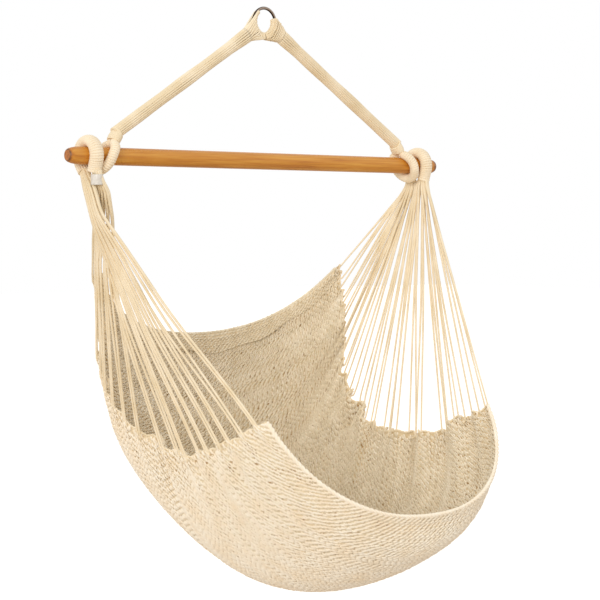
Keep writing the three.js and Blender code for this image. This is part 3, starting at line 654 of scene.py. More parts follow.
def clear_tape(name):
    """Clear polypropylene film, drawn and wound tight: a pale, slightly cloudy skin that shines, with
    creases some 5 mm apart."""
    material, tree, shader, place = new_material(name)
    crease = add_node(tree, "ShaderNodeTexNoise", Vector=place, Scale=1 / TAPE_CREASE, Detail=2.0)
    colour = colour_ramp(tree, crease.outputs["Fac"], [(0.35, "#D9D2C6"), (0.7, "#E8E2D8")])
    tree.links.new(colour, shader.inputs["Base Color"])
    shader.inputs["Roughness"].default_value = 0.35
    bump = add_node(tree, "ShaderNodeBump", Height=crease.outputs["Fac"], Strength=0.3,
                    Distance=TAPE_RELIEF)
    tree.links.new(bump.outputs["Normal"], shader.inputs["Normal"])
    return material


# The inside cotton is the outside's colour made darker: painted shade of the bed's inside
WOVEN_COTTON = {"outer": cotton("unbleached_cotton_weave", "#FFF5E2", "#FBEBD0", 45, 1.4, 0.35),
                "inner": cotton("cotton_weave_inside_painted_shade", "#F1E3C8", "#E3D2B2", 30, 1.4, 0.35)}
# The ground's colour is painted shade for the gaps between strands: darker than the weave, with dark
# blotches, and darker still on its inner face
GAP_SHADE_SPAN = (0.42, 0.56)
GAP_SHADE_COTTON = {"outer": cotton("cotton_ground_painted_shade", "#EAD9B8", "#B8966A", 16, 1.2, 0.3,
                                 GAP_SHADE_SPAN),
                 "inner": cotton("cotton_ground_inside_painted_shade", "#DDC69E", "#A5804C", 16, 1.2, 0.3,
                                 GAP_SHADE_SPAN)}
SHADED_COTTON = cotton("unbleached_cotton_border", "#F0DFC0", "#DFC9A2", 12, 1.4, 0.3)
CORD_COTTON = cotton("twisted_cotton_cord", "#F8E8CA", "#EBD7B1", 60, 1.2, 0.2)
WHIPPED_COTTON = cotton("whipped_cotton", "#FDEDD1", "#F3E0C0", 40, 1.2, 0.3)
WOOD_STOPS = [(0.0, "#553A22"), (0.42, "#B26A1A"), (0.62, "#CB8528"), (0.85, "#DC9E3E")]
WOOD = varnished_wood("honey_varnished_hardwood", WOOD_STOPS, 0.1, 0.45)
END_GRAIN = varnished_wood("varnished_end_grain", [(0.4, "#8F4E1C"), (0.8, "#CC7F33")], 0.0, 0.0)
STEEL = bronzed_steel("bronze_plated_steel_wire")
TAPE = clear_tape("clear_polypropylene_tape")


def finish_piece(piece, material, body, replaced=()):
    piece.data.materials.append(material)
    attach(piece, body)
    if replaced:
        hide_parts(*replaced)
    return piece


# Hang ring

def ring_line(radius, steps):
    angle = 2 * np.pi * np.arange(steps) / steps
    return np.stack([radius * np.cos(angle), 0 * angle, RING_Z + radius * np.sin(angle)], -1)


def make_ring():
    shape = sweep(ring_line(RING_RADIUS, RING_STEPS), BACK, WIRE_RADIUS, WIRE_SIDES, closed=True)
    piece = new_mesh("ring_of_wire", shape[0], shape[1])
    finish_piece(piece, STEEL, "ring", ["hang_ring"])


# Spreader bar

def make_bar():
    """A turned dowel. Its two ends are faced square, and show end grain."""
    place = np.linspace(0, 1, TIP_RINGS) ** TIP_CROWDING
    rise = np.interp(place, TIP_PLACE_SHARES, TIP_RISE_SHARES)
    tip_x = place * TIP_LENGTH - BAR_HALF
    tip_radius = TIP_RADIUS + (BAR_RADIUS - TIP_RADIUS) * rise
    middle = np.linspace(tip_x[-1], -tip_x[-1], BAR_RINGS)[1:-1]
    x = np.concatenate([tip_x, middle, -tip_x[::-1]])
    radius = np.concatenate([tip_radius, np.full(len(middle), BAR_RADIUS), tip_radius[::-1]])
    line = np.stack([x, 0 * x, 0 * x + BAR_Z], -1)
    piece = new_mesh("turned_bar", *sweep(line, BACK, radius[None], BAR_SIDES))
    finish_piece(piece, WOOD, "bar", ["spreader_bar"])
    piece.data.materials.append(END_GRAIN)
    for face in piece.data.polygons[-2:]:
        face.material_index = 1


# Cord legs, and the fans over the ring that they open into

def throat_centre(side):
    reach = RING_RADIUS + THROAT_REACH
    height = RING_Z + reach * math.sin(THROAT_TILT) - THROAT_DROP[side]
    return np.array([side * reach * math.cos(THROAT_TILT), 0, height])


def loop_up(side):
    return np.array([-side * math.sin(LOOP_SLANT), 0, math.cos(LOOP_SLANT)])


def loop_place(side, y, up):
    """A place in the slanting plane of a bar loop."""
    y, up = np.broadcast_arrays(np.asarray(y, float), np.asarray(up, float))
    base = np.stack([side * LOOP_X + 0 * y, y, BAR_Z + 0 * y], -1)
    return base + up[..., None] * loop_up(side)


def seizing_top(side):
    return loop_place(side, 0, LOOP_REACH + GAP + SEIZING_CROWN)


def leg_frame(side):
    """A leg's own direction, upwards, and the direction across it in the plane of the bar."""
    direction = unit(throat_centre(side) - seizing_top(side))
    edgeways = side * np.array([-direction[2], 0, direction[0]])
    return direction, edgeways


def strand_places():
    """The strands of one face of a leg: share across the fan, then across and out in the leg."""
    reach = LEG_RADIUS - STRAND_RADIUS
    outer = np.linspace(-OUTER_SPREAD, OUTER_SPREAD, OUTER_STRANDS)
    inner = (outer[1:] + outer[:-1]) / 2
    rows = [(a / OUTER_SPREAD, reach * math.sin(a), reach * math.cos(a)) for a in outer]
    inside = reach - STRAND_NEST
    rows += [(a / OUTER_SPREAD, inside * math.sin(a), inside * math.cos(a)) for a in inner]
    return rows


def fan_line(side, spread, across, out, lift):
    """A strand from the front of the throat, over the wire, to the back of the throat."""
    direction, edgeways = leg_frame(side)
    angle = lerp(FAN_LOW, FAN_TOP[side], (spread + 1) / 2)
    outward = np.array([side * math.cos(angle), 0, math.sin(angle)])
    wire = RING_CENTRE + RING_RADIUS * outward
    throat = throat_centre(side) - LEG_FLARE * across * edgeways
    leaving = throat + direction * THROAT_EASE
    depth = WIRE_RADIUS + lift
    hang = FAN_HANG * smooth((-spread - FAN_HANG_START) / FAN_HANG_SPAN)
    s = np.linspace(0, 1, 24)[:, None]
    flat = (1 - s) ** 2 * throat + 2 * s * (1 - s) * leaving + s ** 2 * (wire + hang * outward)
    front = flat - BACK * lerp(out, depth, smooth(s))
    turn = np.linspace(0, math.pi, 13)[1:-1, None]
    over = wire - BACK * depth * np.cos(turn)
    over = over + outward * (hang * np.cos(turn) ** 2 - depth * np.sin(turn))
    return np.concatenate([front, over, front[::-1] * MIRROR])


def make_leg(name, side):
    """A leg of parallel strands round a core, a little uneven, and its fan over the ring."""
    direction, edgeways = leg_frame(side)
    low = seizing_top(side) - direction * SEIZING_CROWN
    high = throat_centre(side)
    rows = strand_places()
    share = np.linspace(0, 1, LEG_STEPS)[:, None]
    slack = np.sin(np.pi * share)
    strands = []
    for _, across, out in rows:
        for face in (-1, 1):
            flare = LEG_FULLNESS + LEG_SWELL * np.sin(LEG_SWELL_WAVE * share + side) * slack
            flare = lerp(flare, LEG_FLARE, smooth((share - LEG_FLARE_START) / (1 - LEG_FLARE_START)))
            offset = flare * across * edgeways + face * out * BACK
            phase = STRAND_DRIFT_PHASE * rng.random()
            drift = STRAND_DRIFT * slack * np.sin(STRAND_DRIFT_WAVE * share + phase) * edgeways
            strands.append(low + (high - low) * share + offset + drift)
    strands = sweep(np.array(strands), edgeways, STRAND_RADIUS, STRAND_SIDES)
    core = sweep(lerp(low, high, share), edgeways, LEG_CORE_RADIUS, LEG_CORE_SIDES)
    piece = join_shapes(f"leg_strands_{name}", [strands, core])
    finish_piece(piece, CORD_COTTON, "suspension", [f"suspension_leg_{name}"])

    parts = []
    for spread, across, out in rows:
        lift = STRAND_RADIUS + GAP + (OUTER_LIFT if out > LEG_RADIUS / 2 else 0)
        line = resample(fan_line(side, spread, across, out, lift), FAN_STEP)
        parts.append(sweep(line, edgeways, STRAND_RADIUS, STRAND_SIDES))
    if name == "right":
        parts.append(stitches(side))
    fan = join_shapes(f"ring_eye_strands_{name}", parts)
    finish_piece(fan, CORD_COTTON, "suspension", [f"ring_eye_{name}"])


def stitches(side):
    """The right eye is closed by rows of stitches, worked over its strands from the wire outwards.
    Each stitch leans, humps over the strands, and lies half a stitch out of step with the next row."""
    reach = LEG_RADIUS - STRAND_RADIUS
    spreads = np.linspace(-1, 1, STITCH_STEPS * STITCHES_ACROSS + 1)
    grid = np.array([fan_line(side, spread, reach * math.sin(spread * OUTER_SPREAD),
                              reach * math.cos(spread * OUTER_SPREAD), STITCH_STANDOFF)
                     for spread in spreads])
    middle = grid.shape[1] // 2
    hump = STITCH_HUMP_SHARES[:, None] * STITCH_RADIUS
    lean = np.linspace(-STITCH_LEAN, STITCH_LEAN, STITCH_STEPS + 1)[:, None]
    lines = []
    for order, step in enumerate(STITCH_ROWS):
        row = middle + step
        _, across, over = directions(grid[:, row], grid[:, row + 1] - grid[:, row - 1])
        from_centre = grid[:, row] - RING_CENTRE
        outer = over * np.sign((over * from_centre).sum(-1, keepdims=True))
        shift = STITCH_STEPS // 2 * (order % 2)
        for k in range(STITCHES_ACROSS - order % 2):
            first = STITCH_STEPS * k + shift
            part = slice(first, first + STITCH_STEPS + 1)
            lines.append(grid[part, row] + outer[part] * hump + across[part] * lean)
    return sweep(np.array(lines), STITCH_FACING, STITCH_RADIUS, STITCH_SIDES)


# Bar loops and seizings

def loop_line():
    """A bar loop in its own plane: down the front, under the bar, up the back. Columns are y and up."""
    beside = LOOP_NECK + GAP
    neck = LOOP_REACH - 2 * LOOP_RADIUS
    wide = LOOP_SIDE + LOOP_FULL - LOOP_RADIUS
    low = LOOP_LOW + LOOP_FULL - LOOP_RADIUS
    s = np.linspace(0, 1, 24)[:, None]
    p0, p1 = np.array([-beside, neck]), np.array([-beside, LOOP_EASE_SHARE * neck])
    p2, p3 = np.array([-wide, wide]), np.array([-wide, 0])
    side_line = (1 - s) ** 3 * p0 + 3 * s * (1 - s) ** 2 * p1 + 3 * s * s * (1 - s) * p2 + s ** 3 * p3
    angle = np.linspace(math.pi, 1.5 * math.pi, 20)[1:]
    under = np.stack([wide * np.cos(angle), low * np.sin(angle)], -1)
    front = np.concatenate([np.array([[-beside, LOOP_REACH]]), side_line, under])
    return np.concatenate([front, front[::-1][1:] * np.array([-1, 1])])


def whipping(line, facing, radius, neck=None, flat=1.0):
    """Close whipping over a rope: the rope's core, and the one cord laid round it end to end. A rope
    with a neck radius thins towards its two ends."""
    steps = resample(line, WHIP_CORE_STEP)

    def reach(count):
        from_end = 1 - np.abs(np.linspace(-1, 1, count))
        thin = lerp(neck or radius, radius, smooth(from_end / LOOP_NECK_SHARE))
        return thin - WHIP_RISE

    core = sweep(steps, facing, reach(len(steps))[None], WHIP_CORE_SIDES, flat=flat)
    path, outward = winding(line, facing, reach, WHIP_PITCH, flat=flat)
    return [core, sweep(path, outward, WHIP_RISE, STRAND_SIDES, flat=WHIP_SPREAD)]


def make_bar_loop(name, side):
    """The leg's whipped end, round the bar. It yaws towards the eye, so that the two lie snug."""
    plane = loop_line()
    tuck = LOOP_TUCK * smooth((LOOP_TUCK_START - plane[:, 1:]) / LOOP_TUCK_SPAN)
    inward = side * (LOOP_YAW * plane[:, :1] + tuck)
    line = loop_place(side, plane[:, 0], plane[:, 1]) - inward * ALONG_BAR
    facing = np.array([math.cos(LOOP_SLANT), 0, side * math.sin(LOOP_SLANT)])
    piece = join_shapes(f"whipped_bar_loop_{name}", whipping(line, facing, LOOP_FULL, LOOP_NECK))
    finish_piece(piece, WHIPPED_COTTON, "suspension", [f"bar_loop_{name}"])


def oval_ring(centre, direction, half_long, half_short, steps=40):
    short = np.cross(direction, BACK)
    angle = 2 * np.pi * np.arange(steps) / steps
    return (centre + half_long * np.cos(angle)[:, None] * BACK
            + half_short * np.sin(angle)[:, None] * short)


def make_seizing(name, side):
    """Turns of cord bind the loop's two ends, and a round crown of turns closes to the leg."""
    up = loop_up(side)
    direction, _ = leg_frame(side)
    half_long = 2 * LOOP_NECK + SEIZING_LONG_ROOM
    half_short = LOOP_NECK + SEIZING_SHORT_ROOM
    collar = LEG_FULLNESS * LEG_RADIUS + SEIZING_LEG_ROOM
    top = lerp(loop_place(side, 0, LOOP_REACH), seizing_top(side), SEIZING_DOME / SEIZING_CROWN)
    mouth = LOOP_REACH - SEIZING_SLEEVE
    turns = []
    for share in np.linspace(0, 1, SEIZING_TURNS):
        swell = SEIZING_SWELL * math.sin(math.pi * lerp(*SEIZING_SWELL_SHARES, share))
        place = loop_place(side, 0, lerp(mouth, LOOP_REACH, share))
        turns.append((place, up, half_long + swell, half_short + swell))
    for share in SEIZING_DOME_SHARES:
        place = lerp(loop_place(side, 0, LOOP_REACH), top, share)
        dome = 1 - math.sqrt(1 - (SEIZING_DOME_ROUNDING * share) ** 2)
        turns.append((place, unit(lerp(up, direction, share)), lerp(half_long, collar, dome),
                      lerp(half_short, collar, dome)))
    parts = []
    for place, way, long_way, short_way in turns:
        points, quads, _ = sweep(oval_ring(place, way, long_way, short_way), way, SEIZING_TURN,
                                 STRAND_SIDES, closed=True)
        parts.append((points, quads, []))
    parts.append(loft([oval_ring(p, w, a, b, SEIZING_SKIN_SIDES) for p, w, a, b in turns]))
    piece = join_shapes(f"seizing_turns_{name}", parts)
    finish_piece(piece, CORD_COTTON, "suspension", [f"seizing_{name}"])


# Hammock eyes

def eye_line(hug=0.0):
    """An eye square to the bar: up the front, over the bar, down the back. Columns are y and z."""
    angle = np.linspace(-EYE_TURN, math.pi + EYE_TURN, EYE_BEND_STEPS)
    bend = (EYE_PATH_RADIUS - hug) * np.stack([-np.cos(angle), np.sin(angle)], -1)
    down = np.array([math.sin(EYE_TURN), -math.cos(EYE_TURN)])
    leg = np.linspace(1, 1 / EYE_LEG_STEPS, EYE_LEG_STEPS)[:, None] * EYE_LEG
    front = bend[0] + down * leg
    back = bend[-1] + down * np.array([-1, 1]) * leg[::-1]
    return np.concatenate([front, bend, back])


def eye_end(side, bundle):
    """Where a bundle of cords goes into an eye: bundle is -1 at the front and 1 at the rear."""
    end = eye_line()[0]
    return np.array([side * EYE_X, -bundle * end[0], BAR_Z + end[1]])


def make_eye(name, side):
    """The eye is whipped from its front end over the bar. Behind the bar its strands show."""
    plane = eye_line(EYE_HUG)
    if side < 0:
        lean = smooth((-plane[:, 1] - REAR_LEAN_START) / REAR_LEAN_SPAN) * (plane[:, 0] > 0)
        plane[:, 0] -= REAR_LEAN * lean
    line = np.stack([np.full(len(plane), side * EYE_X), plane[:, 0], plane[:, 1] + BAR_Z], -1)
    cut = int(EYE_WHIPPED_SHARE * len(line))
    parts = whipping(line[:cut], ALONG_BAR, EYE_HALF_WIDTH, flat=EYE_FLATNESS)
    rear = line[cut - EYE_OVERLAP:]
    _, across, over = directions(rear, ALONG_BAR)
    angle = (2 * np.pi * np.arange(EYE_STRANDS) / EYE_STRANDS)[:, None, None]
    outward = np.cos(angle) * across + np.sin(angle) * over
    strands = rear[None] + (EYE_RADIUS - STRAND_RADIUS) * outward
    parts.append(sweep(strands, EYE_FACING, STRAND_RADIUS, STRAND_SIDES))
    parts.append(sweep(rear, ALONG_BAR, EYE_RADIUS - EYE_CORE_INSET, EYE_CORE_SIDES))
    inward = unit(line[1] - line[0])
    rim = round_ring(line[0] + inward * EYE_RIM_SETBACK, inward, EYE_RADIUS - EYE_RIM_INSET)
    points, quads, _ = sweep(rim, inward, EYE_RIM_RADIUS, STRAND_SIDES, closed=True)
    parts.append((points, quads, []))
    piece = join_shapes(f"whipped_eye_{name}", parts)
    finish_piece(piece, WHIPPED_COTTON, "seat", [f"hammock_eye_{name}"])


def round_ring(centre, direction, radius, steps=40):
    across = unit(np.cross(direction, BACK + 0.2 * UP))
    over = np.cross(direction, across)
    angle = 2 * np.pi * np.arange(steps) / steps
    return centre + radius * (np.cos(angle)[:, None] * across + np.sin(angle)[:, None] * over)


def band_top(side):
    return eye_end(side, -1)[2] - EYE_RADIUS * math.sin(EYE_TURN) - BAND_BELOW_EYE


def make_band(name, side):
    """Plain tape wrapped once round the front bundle, with a soft crease or two."""
    centre = eye_end(side, -1) - BAND_FORWARD * BACK
    top = band_top(side)
    angle = 2 * np.pi * np.arange(BAND_SIDES) / BAND_SIDES
    heights = np.linspace(0, 1, BAND_ROWS)
    rings = []
    for wall, order in ((BAND_WALL, heights), (0.0, heights[::-1])):
        for h in order:
            crease = BAND_CREASE * np.sin(3 * angle + 5 * h) * math.sin(math.pi * h)
            x = centre[0] + (BAND_HALF_WIDTH + wall + crease) * np.cos(angle)
            y = centre[1] + (BAND_HALF_DEPTH + wall + crease) * np.sin(angle)
            rings.append(np.stack([x, y, np.full(BAND_SIDES, top - h * BAND_LENGTH)], -1))
    points, quads, _ = loft(rings)
    spot = np.arange(BAND_SIDES)
    beside = (spot + 1) % BAND_SIDES
    last = (len(rings) - 1) * BAND_SIDES
    seam = np.stack([last + spot, spot, beside, last + beside], -1)
    piece = new_mesh(f"tape_band_{name}", points, np.concatenate([quads, seam])[:, ::-1])
    finish_piece(piece, TAPE, "seat", [f"neck_band_{name}"])


# Woven bed

def station_value(values, v):
    """A smooth value between stations."""
    spots = STATION_SHARES
    i = np.clip(np.searchsorted(spots, v, side="left") - 1, 0, len(spots) - 2)
    before = np.maximum(np.arange(len(spots)) - 1, 0)
    after = np.minimum(np.arange(len(spots)) + 1, len(spots) - 1)
    slope = (values[after] - values[before]) / (spots[after] - spots[before])
    span = spots[i + 1] - spots[i]
    t = (v - spots[i]) / span
    near = (1 + 2 * t) * (1 - t) ** 2 * values[i] + t * (1 - t) ** 2 * span * slope[i]
    return near + t * t * (3 - 2 * t) * values[i + 1] - t * t * (1 - t) * span * slope[i + 1]


def bed_point(u, v):
    """A place on the middle surface: u from -1 to 1 across, v from the back edge to the front."""
    u, v = np.broadcast_arrays(np.asarray(u, float), np.asarray(v, float))
    lean = np.radians(station_value(STATION_LEANS_DEG, v))
    middle = BED_DROP * station_value(BED_DROP_SHARES, v)
    edge = EDGE_DROP * station_value(EDGE_DROP_SHARES, v)
    half = EDGE_HALF_WIDTH * station_value(EDGE_WIDTH_SHARES, v)
    fullness = 1 - (middle - edge) * (EYE_X - half) / ((edge - FAN_POINT_DROP) * half)
    t = np.abs(u)
    x = np.sign(u) * half * (2 * t * (1 - t) * fullness + t * t)
    drop = lerp(middle, edge, t * t)
    return np.stack([x, drop * np.sin(lean), BAR_Z - drop * np.cos(lean)], -1)


def run_table(u):
    """How far along the cloth each v lies, on the line at u."""
    v = np.linspace(0, 1, RUN_STEPS)
    return v, run_along(bed_point(u, v))


EDGE_V, EDGE_RUN = run_table(1.0)
MIDDLE_V, MIDDLE_RUN = run_table(0.0)


def edge_v(share):
    return np.interp(np.clip(share, 0, 1) * EDGE_RUN[-1], EDGE_RUN, EDGE_V)


def middle_v(share):
    return np.interp(np.clip(share, 0, 1) * MIDDLE_RUN[-1], MIDDLE_RUN, MIDDLE_V)


def cloth(u, share):
    """The cloth's middle surface with its folds, over a grid of u (columns) and share (rows).
    Returns places and outward normals. At each cord the side edge is drawn out in a scallop, with a
    small uneven one on either side of it, and the cloth is pleated."""
    u, share = np.broadcast_arrays(np.asarray(u, float), np.asarray(share, float))
    t = np.abs(u)
    at_edge = smooth((t - EDGE_START_SHARE) / EDGE_SPAN_SHARE)
    cycle = 2 * np.pi * CORDS
    bunch = BUNCH_SHARE * np.sin(cycle * share) / cycle
    bunched = share + bunch * smooth((t - BUNCH_START_SHARE) / BUNCH_SPAN_SHARE)
    flat = bed_point(u, lerp(middle_v(share), edge_v(bunched), at_edge))
    across = unit(np.gradient(flat, axis=1))
    along = unit(np.gradient(flat, axis=0))
    normal = unit(np.cross(across, along))
    away = flat - np.array([0, 0, BAR_Z])
    normal = normal * np.sign((normal * (away * np.array([0, 1, 1]))).sum(-1, keepdims=True))
    width = np.linalg.norm(np.diff(flat, axis=1), axis=-1)
    run = np.concatenate([np.zeros((len(flat), 1)), np.cumsum(width, 1)], 1)
    inward = np.minimum(run, run[:, -1:] - run)
    fine = np.cos(cycle * share)
    near = lerp(smooth(1 - inward / GATHER_WIDTH), smooth(1 - inward / PLEAT_REACH), PLEAT_FAR_SHARE)
    lift = folds(u, share, inward) - PLEAT_DEPTH * fine * near
    drift = [np.sin(2 * np.pi * wave * share + phase)
             for wave, phase in zip(SCALLOP_DRIFT_WAVES, (2 * u, 1))]
    small = np.cos(2 * cycle * share + SCALLOP_SHIFT * np.sin(SCALLOP_SHIFT_WAVE * share))
    scallop = (SCALLOP_OUT + SCALLOP_DRIFT * drift[0] * drift[1]
               - SCALLOP_IN * (SCALLOP_DEPTH_SHARE * (1 + fine) - SCALLOP_SMALL_SHARE * small))
    reach = scallop * smooth(1 - inward / SCALLOP_REACH) * np.sign(u)
    return flat + normal * lift[..., None] + across * reach[..., None], normal


def folds(u, share, inward):
    """Broad folds and deep creases, as a lift off the cloth's own surface."""
    lift = np.zeros_like(inward)
    for side in (-1, 1):
        for spot, width, height, reach in FOLD_SHARES:
            here = spot + FOLD_SCATTER_SHARE * side * math.sin(FOLD_SCATTER_WAVE * spot)
            bump = np.exp(-((share - here) / width) ** 2)
            full = FOLD_FULLNESS[side] * height * MM
            lift = lift + full * bump * smooth(1 - inward / (reach * MM)) * (u * side > 0)
    for side, spot, width, height, reach, drift in CREASE_SHARES:
        bump = np.exp(-((share - spot + drift * inward) / width) ** 2)
        lift = lift + height * MM * bump * smooth(1 - inward / (reach * MM)) * (u * side > 0)
    return lift


def make_bed_ground():
    """The close ground of the cloth, behind the strands that show. Its colour is painted shade for the
    gaps between them, and darker on its inner face for the shade of the bed's inside.
    """
    u = np.linspace(-1, 1, GROUND_COLUMNS)[None]
    share = np.linspace(0, 1, GROUND_ROWS)[:, None]
    place, normal = cloth(u, share)
    piece = new_mesh("bed_ground_cloth", *sheet_shape(place, normal, GROUND_HALF))
    finish_piece(piece, GAP_SHADE_COTTON["outer"], "seat", ["woven_bed"])
    piece.data.materials.append(GAP_SHADE_COTTON["inner"])
    one_face = (GROUND_ROWS - 1) * (GROUND_COLUMNS - 1)
    inner = np.zeros(len(piece.data.polygons), np.int32)
    inner[one_face:2 * one_face] = 1
    piece.data.polygons.foreach_set("material_index", inner)
    return piece


def woven_strands(place, normal, first, stitches, sway_share=WEAVE_SWAY_SHARE):
    """Strands on a surface, one to a row: their lines, facings and radius. A row's stitches lie half
    a stitch out of step with the next row's."""
    count = len(place)
    stride = np.linalg.norm(np.diff(place, axis=1), axis=-1)
    run = np.concatenate([np.zeros((count, 1)), np.cumsum(stride, 1)], 1)
    run = run / run[:, -1:]
    pitch = np.linalg.norm(np.gradient(place, axis=0), axis=-1)
    pitch = np.clip(pitch, WEAVE_PITCH_LEAST, WEAVE_PITCH_MOST)
    knots = (np.arange(stitches)[:, None] + STITCH_PLACES).ravel()
    order = np.arange(count) + first
    wander = 0.5 * (order % 2) + WANDER_WAVE * np.sin(order / WANDER_ROWS)
    wander = wander + WANDER_NOISE * rng.standard_normal(count)
    lines, facings, spacing = [], [], []
    for k in range(count):
        where = np.clip((knots + wander[k]) / (stitches + 0.5), 0, 1)
        lines.append(np.stack([np.interp(where, run[k], place[k, :, i]) for i in range(3)], -1))
        facings.append(np.stack([np.interp(where, run[k], normal[k, :, i]) for i in range(3)], -1))
        spacing.append(np.interp(where, run[k], pitch[k]))
    lines, facings, spacing = np.array(lines), unit(np.array(facings)), np.array(spacing)
    lateral = unit(np.cross(facings, unit(np.gradient(lines, axis=1))))
    sway = sway_share * spacing * np.tile(STITCH_SWAYS, stitches)
    sway = sway + SWAY_NOISE * spacing * rng.standard_normal(spacing.shape)
    rise = MM * np.tile(STITCH_RISES, stitches) + RISE_NOISE * rng.standard_normal(spacing.shape)
    row, knot = order[:, None], knots[None]
    ridge_phase = RIDGE_DRIFT * np.sin(knot / RIDGE_DRIFT_STITCHES)
    rise = rise + WEAVE_RIDGE * np.sin(2 * np.pi * row / WEAVE_RIDGE_STRANDS + ridge_phase)
    loose = (np.sin(knot / LOOSE_STITCHES[0] + row / LOOSE_ROWS[0])
             * np.sin(knot / LOOSE_STITCHES[1] - row / LOOSE_ROWS[1]))
    radius = WEAVE_RADIUS_SHARE * spacing * np.tile(STITCH_SWELLS, stitches) * (1 - LOOSE_SHARE * loose)
    return lines + lateral * sway[..., None] + facings * rise[..., None], facings, radius


def make_weave():
    """The strands of both faces. Each face is cut into strips, which keeps every mesh small."""
    u = np.linspace(-1, 1, WEAVE_SAMPLES)[None]
    share = ((np.arange(WEAVE_STRANDS) + 0.5) / WEAVE_STRANDS)[:, None]
    place, normal = cloth(u, share)
    pieces = []
    per = WEAVE_STRANDS // WEAVE_PIECES
    for face, way in (("outer", 1), ("inner", -1)):
        surface = place + way * normal * WEAVE_LAYER
        lines, facings, radius = woven_strands(surface, way * normal, 0, WEAVE_STITCHES)
        for k in range(WEAVE_PIECES):
            part = slice(k * per, (k + 1) * per)
            shape = sweep(lines[part], facings[part], radius[part], WEAVE_SIDES)
            piece = new_mesh(f"bed_weave_{face}_{k + 1}", *shape)
            # The inner face takes the inside cotton, whose darker colour is painted shade
            pieces.append(finish_piece(piece, WOVEN_COTTON[face], "seat"))
    return pieces


def make_selvages():
    """A thin cord runs in each side edge of the cloth, from scallop to scallop."""
    pieces = []
    u = np.linspace(-1, 1, EDGE_COLUMNS)[None]
    place, normal = cloth(u, np.linspace(0, 1, SELVAGE_ROWS)[:, None])
    for name, column in (("left", 0), ("right", -1)):
        shape = sweep(place[:, column], normal[:, column][None], SELVAGE_RADIUS, STRAND_SIDES, lobes=2,
                      depth=SELVAGE_LOBE, turn=2 * np.pi / SELVAGE_LAY)
        piece = new_mesh(f"selvage_cord_{name}", *shape)
        pieces.append(finish_piece(piece, CORD_COTTON, "seat"))
    return pieces


def make_front_edge():
    """The front edge is closed by two soft plies laid round each other, a bump to every 11 mm."""
    place, normal = cloth(np.linspace(-1, 1, FRONT_SAMPLES)[None], FRONT_ROW_SHARES[:, None])
    forward = unit(place[2] - place[1])
    line = place[2] + forward * FRONT_REACH
    run = run_along(line)
    wander = PLY_WANDER * np.sin(run / PLY_WANDER_WAVE)
    plies = []
    for start in (0, math.pi):
        turn = (2 * np.pi * run / PLY_LAY + start + wander)[:, None]
        plies.append(line + PLY_OFFSET * (np.cos(turn) * forward + np.sin(turn) * normal[2]))
    radius = PLY_RADIUS * (1 + PLY_UNEVEN_SHARE * np.sin(run / PLY_UNEVEN_WAVE))
    shape = sweep(np.array(plies), normal[2], radius[None], STRAND_SIDES)
    piece = new_mesh("front_edge_twisted_cord", *shape)
    return finish_piece(piece, WOVEN_COTTON["outer"], "seat", ["front_edge_cord"])


def make_hem():
    """The back edge is turned in: a ragged flap of the same weave that stands a little off the bed."""
    u = np.linspace(-HEM_HALF_SHARE, HEM_HALF_SHARE, WEAVE_SAMPLES)
    ragged = 1 + sum(size * np.sin(wave * u + phase) for size, wave, phase in HEM_RAGGED_SHARES)
    share = np.linspace(0, HEM_FALL_SHARE, HEM_ROWS)[:, None] * ragged
    place, normal = cloth(u[None], share)
    down = np.linspace(0, 1, HEM_ROWS)[:, None]
    swell = (1 - u ** 2) ** HEM_ENDS_POWER
    height, wave, phase = HEM_RIPPLE_SHARES
    ripple = 1 + height * np.sin(wave * u + phase) * down
    gape = sum(size * np.exp(-((u - spot) / width) ** 2) for spot, width, size in HEM_GAPE_SHARES)
    opening = HEM_LIFT * gape * down ** HEM_GAPE_POWER * swell * ripple
    lift = lerp(HEM_TOP_LIFT, HEM_FOOT_LIFT, down) + opening
    lift[:2] = HEM_ROLL_LIFTS[:, None]
    rise = np.zeros_like(lift)
    rise[:2] = HEM_ROLL_RISES[:, None]
    up_way = unit(place[0] - place[3])
    surface = place - normal * lift[..., None] + up_way[None] * rise[..., None]
    top = surface - normal * HEM_LAYER
    lines, facings, radius = woven_strands(top, -normal, 1, WEAVE_STITCHES, HEM_SWAY_SHARE)
    radius = np.maximum(radius, HEM_STRAND_LEAST)
    weave = new_mesh("hem_weave", *sweep(lines, facings, radius, WEAVE_SIDES))
    # The flap and its roll take the inside cotton, whose darker colour is painted shade
    finish_piece(weave, WOVEN_COTTON["inner"], "seat", ["back_hem"])
    ground = new_mesh("hem_ground_cloth", *sheet_shape(surface, normal, GROUND_HALF))
    finish_piece(ground, SHADED_COTTON, "seat")
    shape = sweep(surface[0], normal[0], ROLL_RADIUS, ROLL_SIDES, lobes=3, depth=ROLL_LOBE,
                  turn=2 * np.pi / ROLL_LAY)
    roll = new_mesh("back_edge_roll", *shape)
    finish_piece(roll, WOVEN_COTTON["inner"], "seat")
    return [weave, ground, roll]


# Arm cords

def edge_places(side):
    """Place, pull towards the eye, and outward normal of the cloth's edge at each cord."""
    share = (np.arange(CORDS) + 0.5) / CORDS
    rows = np.sort(np.concatenate([share, share - EDGE_PROBE_SHARE, share + EDGE_PROBE_SHARE]))
    place, normal = cloth(np.linspace(-1, 1, EDGE_COLUMNS)[None], rows[:, None])
    column, inner = (0, 1) if side < 0 else (-1, -2)
    middle = slice(1, None, 3)
    pull = unit(place[middle, column] - place[middle, inner])
    return place[middle, column], pull, normal[middle, column]


